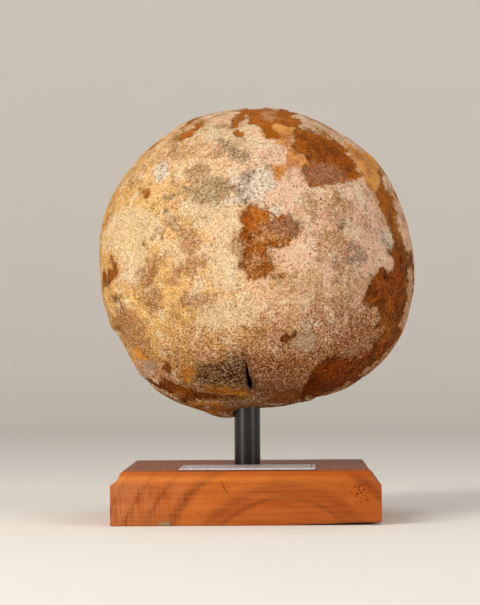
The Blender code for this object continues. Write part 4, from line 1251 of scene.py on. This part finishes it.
def oiled_hardwood():
    """Sawn, oiled hardwood: warm orange brown, with growth rings that show as arcs on the end grain.

    Its pores are dots on the end grain and dashes on the top and sides. They are about 0.2 mm wide,
    and are drawn at 0.9 mm, as coarse as they need to show. The saw marks are coarser than real too.
    """
    made, tree, shader, place = new_material("oiled reddish hardwood")
    x, _, z = add(tree, "ShaderNodeSeparateXYZ", (place,)).outputs
    clouds = {}
    sizes = (  # what the noise makes, its size in mm, detail, and how it is squeezed along X, Y and Z
        ("waves", 25, 2, (1, 0.3, 1)), ("pores", 0.9, 2, (1, 0.06, 1)), ("blotches", 14, 4, (1, 1, 1)),
        ("sawn across", 1.3, 2, (0.05, 1, 1)), ("sawn upright", 0.6, 3, (1, 1, 0.08)),
        ("specks", 1.0, 2, (1, 1, 1)),
    )
    for number, (name, size, detail, squeeze) in enumerate(sizes):
        where = add(tree, "ShaderNodeMapping", {"Vector": place, "Scale": squeeze})
        clouds[name] = add(tree, "ShaderNodeTexNoise", {
            "Vector": where, "W": number, "Scale": 1 / (size * MM), "Detail": detail,
        }, noise_dimensions="4D")

    colour = growth_rings(tree, place, clouds["waves"])
    left = add(tree, "ShaderNodeMapRange", (x, -15 * MM, -60 * MM, 0.0, 0.28))
    # How much painted light the moulding's upturned cove gets: most at the left.
    cove_highlight = add(tree, "ShaderNodeMapRange", (x, -60 * MM, 62 * MM, 0.5, 0.0))
    top = PLINTH_HEIGHT
    tints = (  # colour, what it follows, where it starts and is full, strength
        ("#5a290c", clouds["pores"], 0.56, 0.75, 0.6),
        ("#8a3c12", clouds["blotches"], 0.45, 0.7, 0.4),
        ("#cf8040", clouds["sawn across"], 0.4, 0.62, 0.22),
        ("#d39468", clouds["sawn upright"], 0.4, 0.6, left),
        ("#8c3a0c", x, -10 * MM, 62 * MM, 0.35),
        ("#8a4a22", z, 12 * MM, 0.0, 0.3),
        # Painted light and shade on the moulding: the upturned cove lighter, the steep lip above it darker.
        ("#e2863c", z, 18 * MM, 22 * MM, cove_highlight),
        ("#9c4818", z, 22 * MM, 24 * MM, 0.6),
        ("#6e3c20", z, top - 0.5 * MM, top - 0.1 * MM, 0.5),
    )
    for tint in tints:
        colour = tinted(tree, colour, *tint)
    colour = worn_front(tree, place, colour, clouds["specks"])

    relief = add(tree, "ShaderNodeMath", (clouds["pores"], -0.1 * MM), operation="MULTIPLY")
    for name, height in (("sawn across", 0.08 * MM), ("sawn upright", 0.03 * MM)):
        relief = add(tree, "ShaderNodeMath", (clouds[name], height, relief), operation="MULTIPLY_ADD")
    roughness = add(tree, "ShaderNodeMapRange", (clouds["pores"], 0.5, 0.75, 0.42, 0.6))
    finish_shader(tree, shader, colour, relief, roughness, ior=1.5, specular=0.08)
    return made


def black_steel():
    """Steel bar under satin black enamel: near black, with soft upright highlights and light dust.

    The draw marks under the enamel and the dust are drawn coarser than real, so that they show.
    """
    made, tree, shader, place = new_material("satin black enamel on steel")
    along = add(tree, "ShaderNodeMapping", {"Vector": place, "Scale": (1, 1, 0.04)})
    drawn = add(tree, "ShaderNodeTexNoise", {"Vector": along, "Scale": 1 / (0.8 * MM), "Detail": 3.0})
    dust = add(tree, "ShaderNodeTexNoise", {"Vector": place, "Scale": 1 / (1.5 * MM), "Detail": 5.0})
    colour = tinted(tree, "#020202", "#24211e", dust, 0.62, 0.8, 0.25)
    roughness = add(tree, "ShaderNodeMapRange", {0: dust, 3: 0.33, 4: 0.38})
    relief = add(tree, "ShaderNodeMath", (drawn, 0.012 * MM), operation="MULTIPLY")
    finish_shader(tree, shader, colour, relief, roughness, ior=1.5, specular=0.5)
    return made


def printed_card():
    """Coated card: pale silver lilac with a soft gloss, a thin dark frame line and ruled lines.

    The coating's flecks are about 0.1 mm across, and are drawn at 0.7 mm so that they show.
    """
    made, tree, shader, place = new_material("coated silver card")
    centred = add(tree, "ShaderNodeMapping", {
        "Vector": place, "Location": (*LABEL_CENTRE, 0), "Rotation": (0, 0, LABEL_TURN)},
        vector_type="TEXTURE")
    x, y, _ = add(tree, "ShaderNodeSeparateXYZ", (centred,)).outputs
    within = []
    for along, size in ((x, LABEL_SIZE[0]), (y, LABEL_SIZE[1])):
        out = add(tree, "ShaderNodeMath", (along,), operation="ABSOLUTE")
        within.append(add(tree, "ShaderNodeMath", (size / 2 - LABEL_INSET, out), operation="SUBTRACT"))
    within = add(tree, "ShaderNodeMath", tuple(within), operation="MINIMUM")
    off_frame = add(tree, "ShaderNodeMath", (within,), operation="ABSOLUTE")
    off_rule = add(tree, "ShaderNodeMath", (y, RULE_SPACING / 2), operation="PINGPONG")
    ruled = add(tree, "ShaderNodeMapRange", (within, 4.4 * MM, 4.5 * MM, 0.0, 0.8))
    fleck = add(tree, "ShaderNodeTexNoise", {"Vector": place, "Scale": 1 / (0.7 * MM), "Detail": 4.0})
    colour = tinted(tree, "#a89ea2", "#cfc8cb", fleck, 0.3, 0.7)
    colour = tinted(tree, colour, "#3a3638", off_frame, 0.32 * MM, 0.26 * MM, 0.85)
    colour = tinted(tree, colour, "#3a3638", off_rule, 0.27 * MM, 0.22 * MM, ruled)
    relief = add(tree, "ShaderNodeMath", (fleck, 0.02 * MM), operation="MULTIPLY")
    roughness = add(tree, "ShaderNodeMapRange", {0: fleck, 3: 0.4, 4: 0.5})
    finish_shader(tree, shader, colour, relief, roughness, ior=1.5, specular=0.33)
    return made


# ---------------------------------------------------------------- floor, light and camera


def build_stage():
    """A pale round floor that sweeps up into a pale wall on every side."""
    middle_radius = 0.5
    floor_radius = 1.3
    sweep = 0.5
    wall_top = 1.9
    profile = [(middle_radius, 0.0), (floor_radius, 0.0)]
    for step in range(1, 9):
        turn = math.pi / 2 * step / 8
        profile.append((floor_radius + sweep * math.sin(turn), sweep - sweep * math.cos(turn)))
    profile.append((floor_radius + sweep, wall_top))
    shape = bmesh.new()
    rows = [round_row(shape, radius, height, 64) for radius, height in profile]
    shape.faces.new(rows[0])
    join_rows(shape, rows[::-1])
    mesh = as_mesh(shape, "studio_floor")
    mesh.shade_smooth()
    floor = new_object("studio_floor", mesh)
    # Matt paper gives an even, pale ground with soft shadows and no shine.
    finish, _, shader, _ = new_material("matt pale paper")
    shader.inputs["Base Color"].default_value = linear("#efece7")
    shader.inputs["Roughness"].default_value = 0.9
    mesh.materials.append(finish)


def area_light(name, place, aim, size, power, colour):
    """A soft rectangular light of some watts that shines from its place towards its aim."""
    light = bpy.data.lights.new(name, "AREA")
    light.shape = "RECTANGLE"
    light.size, light.size_y = size
    light.energy = power
    light.color = linear(colour)[:3]
    made = new_object(name, light)
    made.location = place
    made.rotation_euler = (Vector(place) - Vector(aim)).to_track_quat("Z", "Y").to_euler()
    made.visible_camera = False


def build_light():
    """A tall key light at the left, a weak fill at the right, one overhead, and a dim even surround."""
    aim = (0.0, 0.0, 0.11)
    area_light("key", (-0.90, -0.86, 0.60), aim, (0.26, 1.25), 16.2, "#fff8ee")
    area_light("fill", (1.0, -0.75, 0.45), aim, (0.25, 0.9), 5.5, "#fff8f2")
    area_light("top", (0.0, 0.0, 1.5), aim, (1.0, 1.0), 5.5, "#ffffff")
    world = bpy.data.worlds.new("studio")
    world.use_nodes = True
    world.node_tree.nodes["Background"].inputs["Color"].default_value = linear("#dcdcde")
    world.node_tree.nodes["Background"].inputs["Strength"].default_value = 0.14
    bpy.context.scene.world = world
    bpy.context.scene.view_settings.view_transform = "Standard"


def build_camera():
    """A long lens that looks level at the front, from a little right of the middle."""
    camera = bpy.data.cameras.new("camera")
    camera.lens = 146.7
    camera.sensor_width = 36.0
    camera.clip_start = 0.05
    made = new_object("camera", camera)
    made.location = MARKED_FROM
    heading, pitch, roll = (math.radians(angle) for angle in (1.07, 1.11, 0.37))
    level = Matrix.Rotation(math.pi / 2, 3, "X")
    turned = Matrix.Rotation(heading, 3, "Z") @ Matrix.Rotation(pitch, 3, "X")
    made.rotation_euler = (turned @ Matrix.Rotation(roll, 3, "Y") @ level).to_euler()
    bpy.context.scene.camera = made


build_camera()
build_stage()
build_light()
build_head(fossil_bone())
build_plinth(oiled_hardwood())
build_rod(black_steel())
build_label(printed_card())
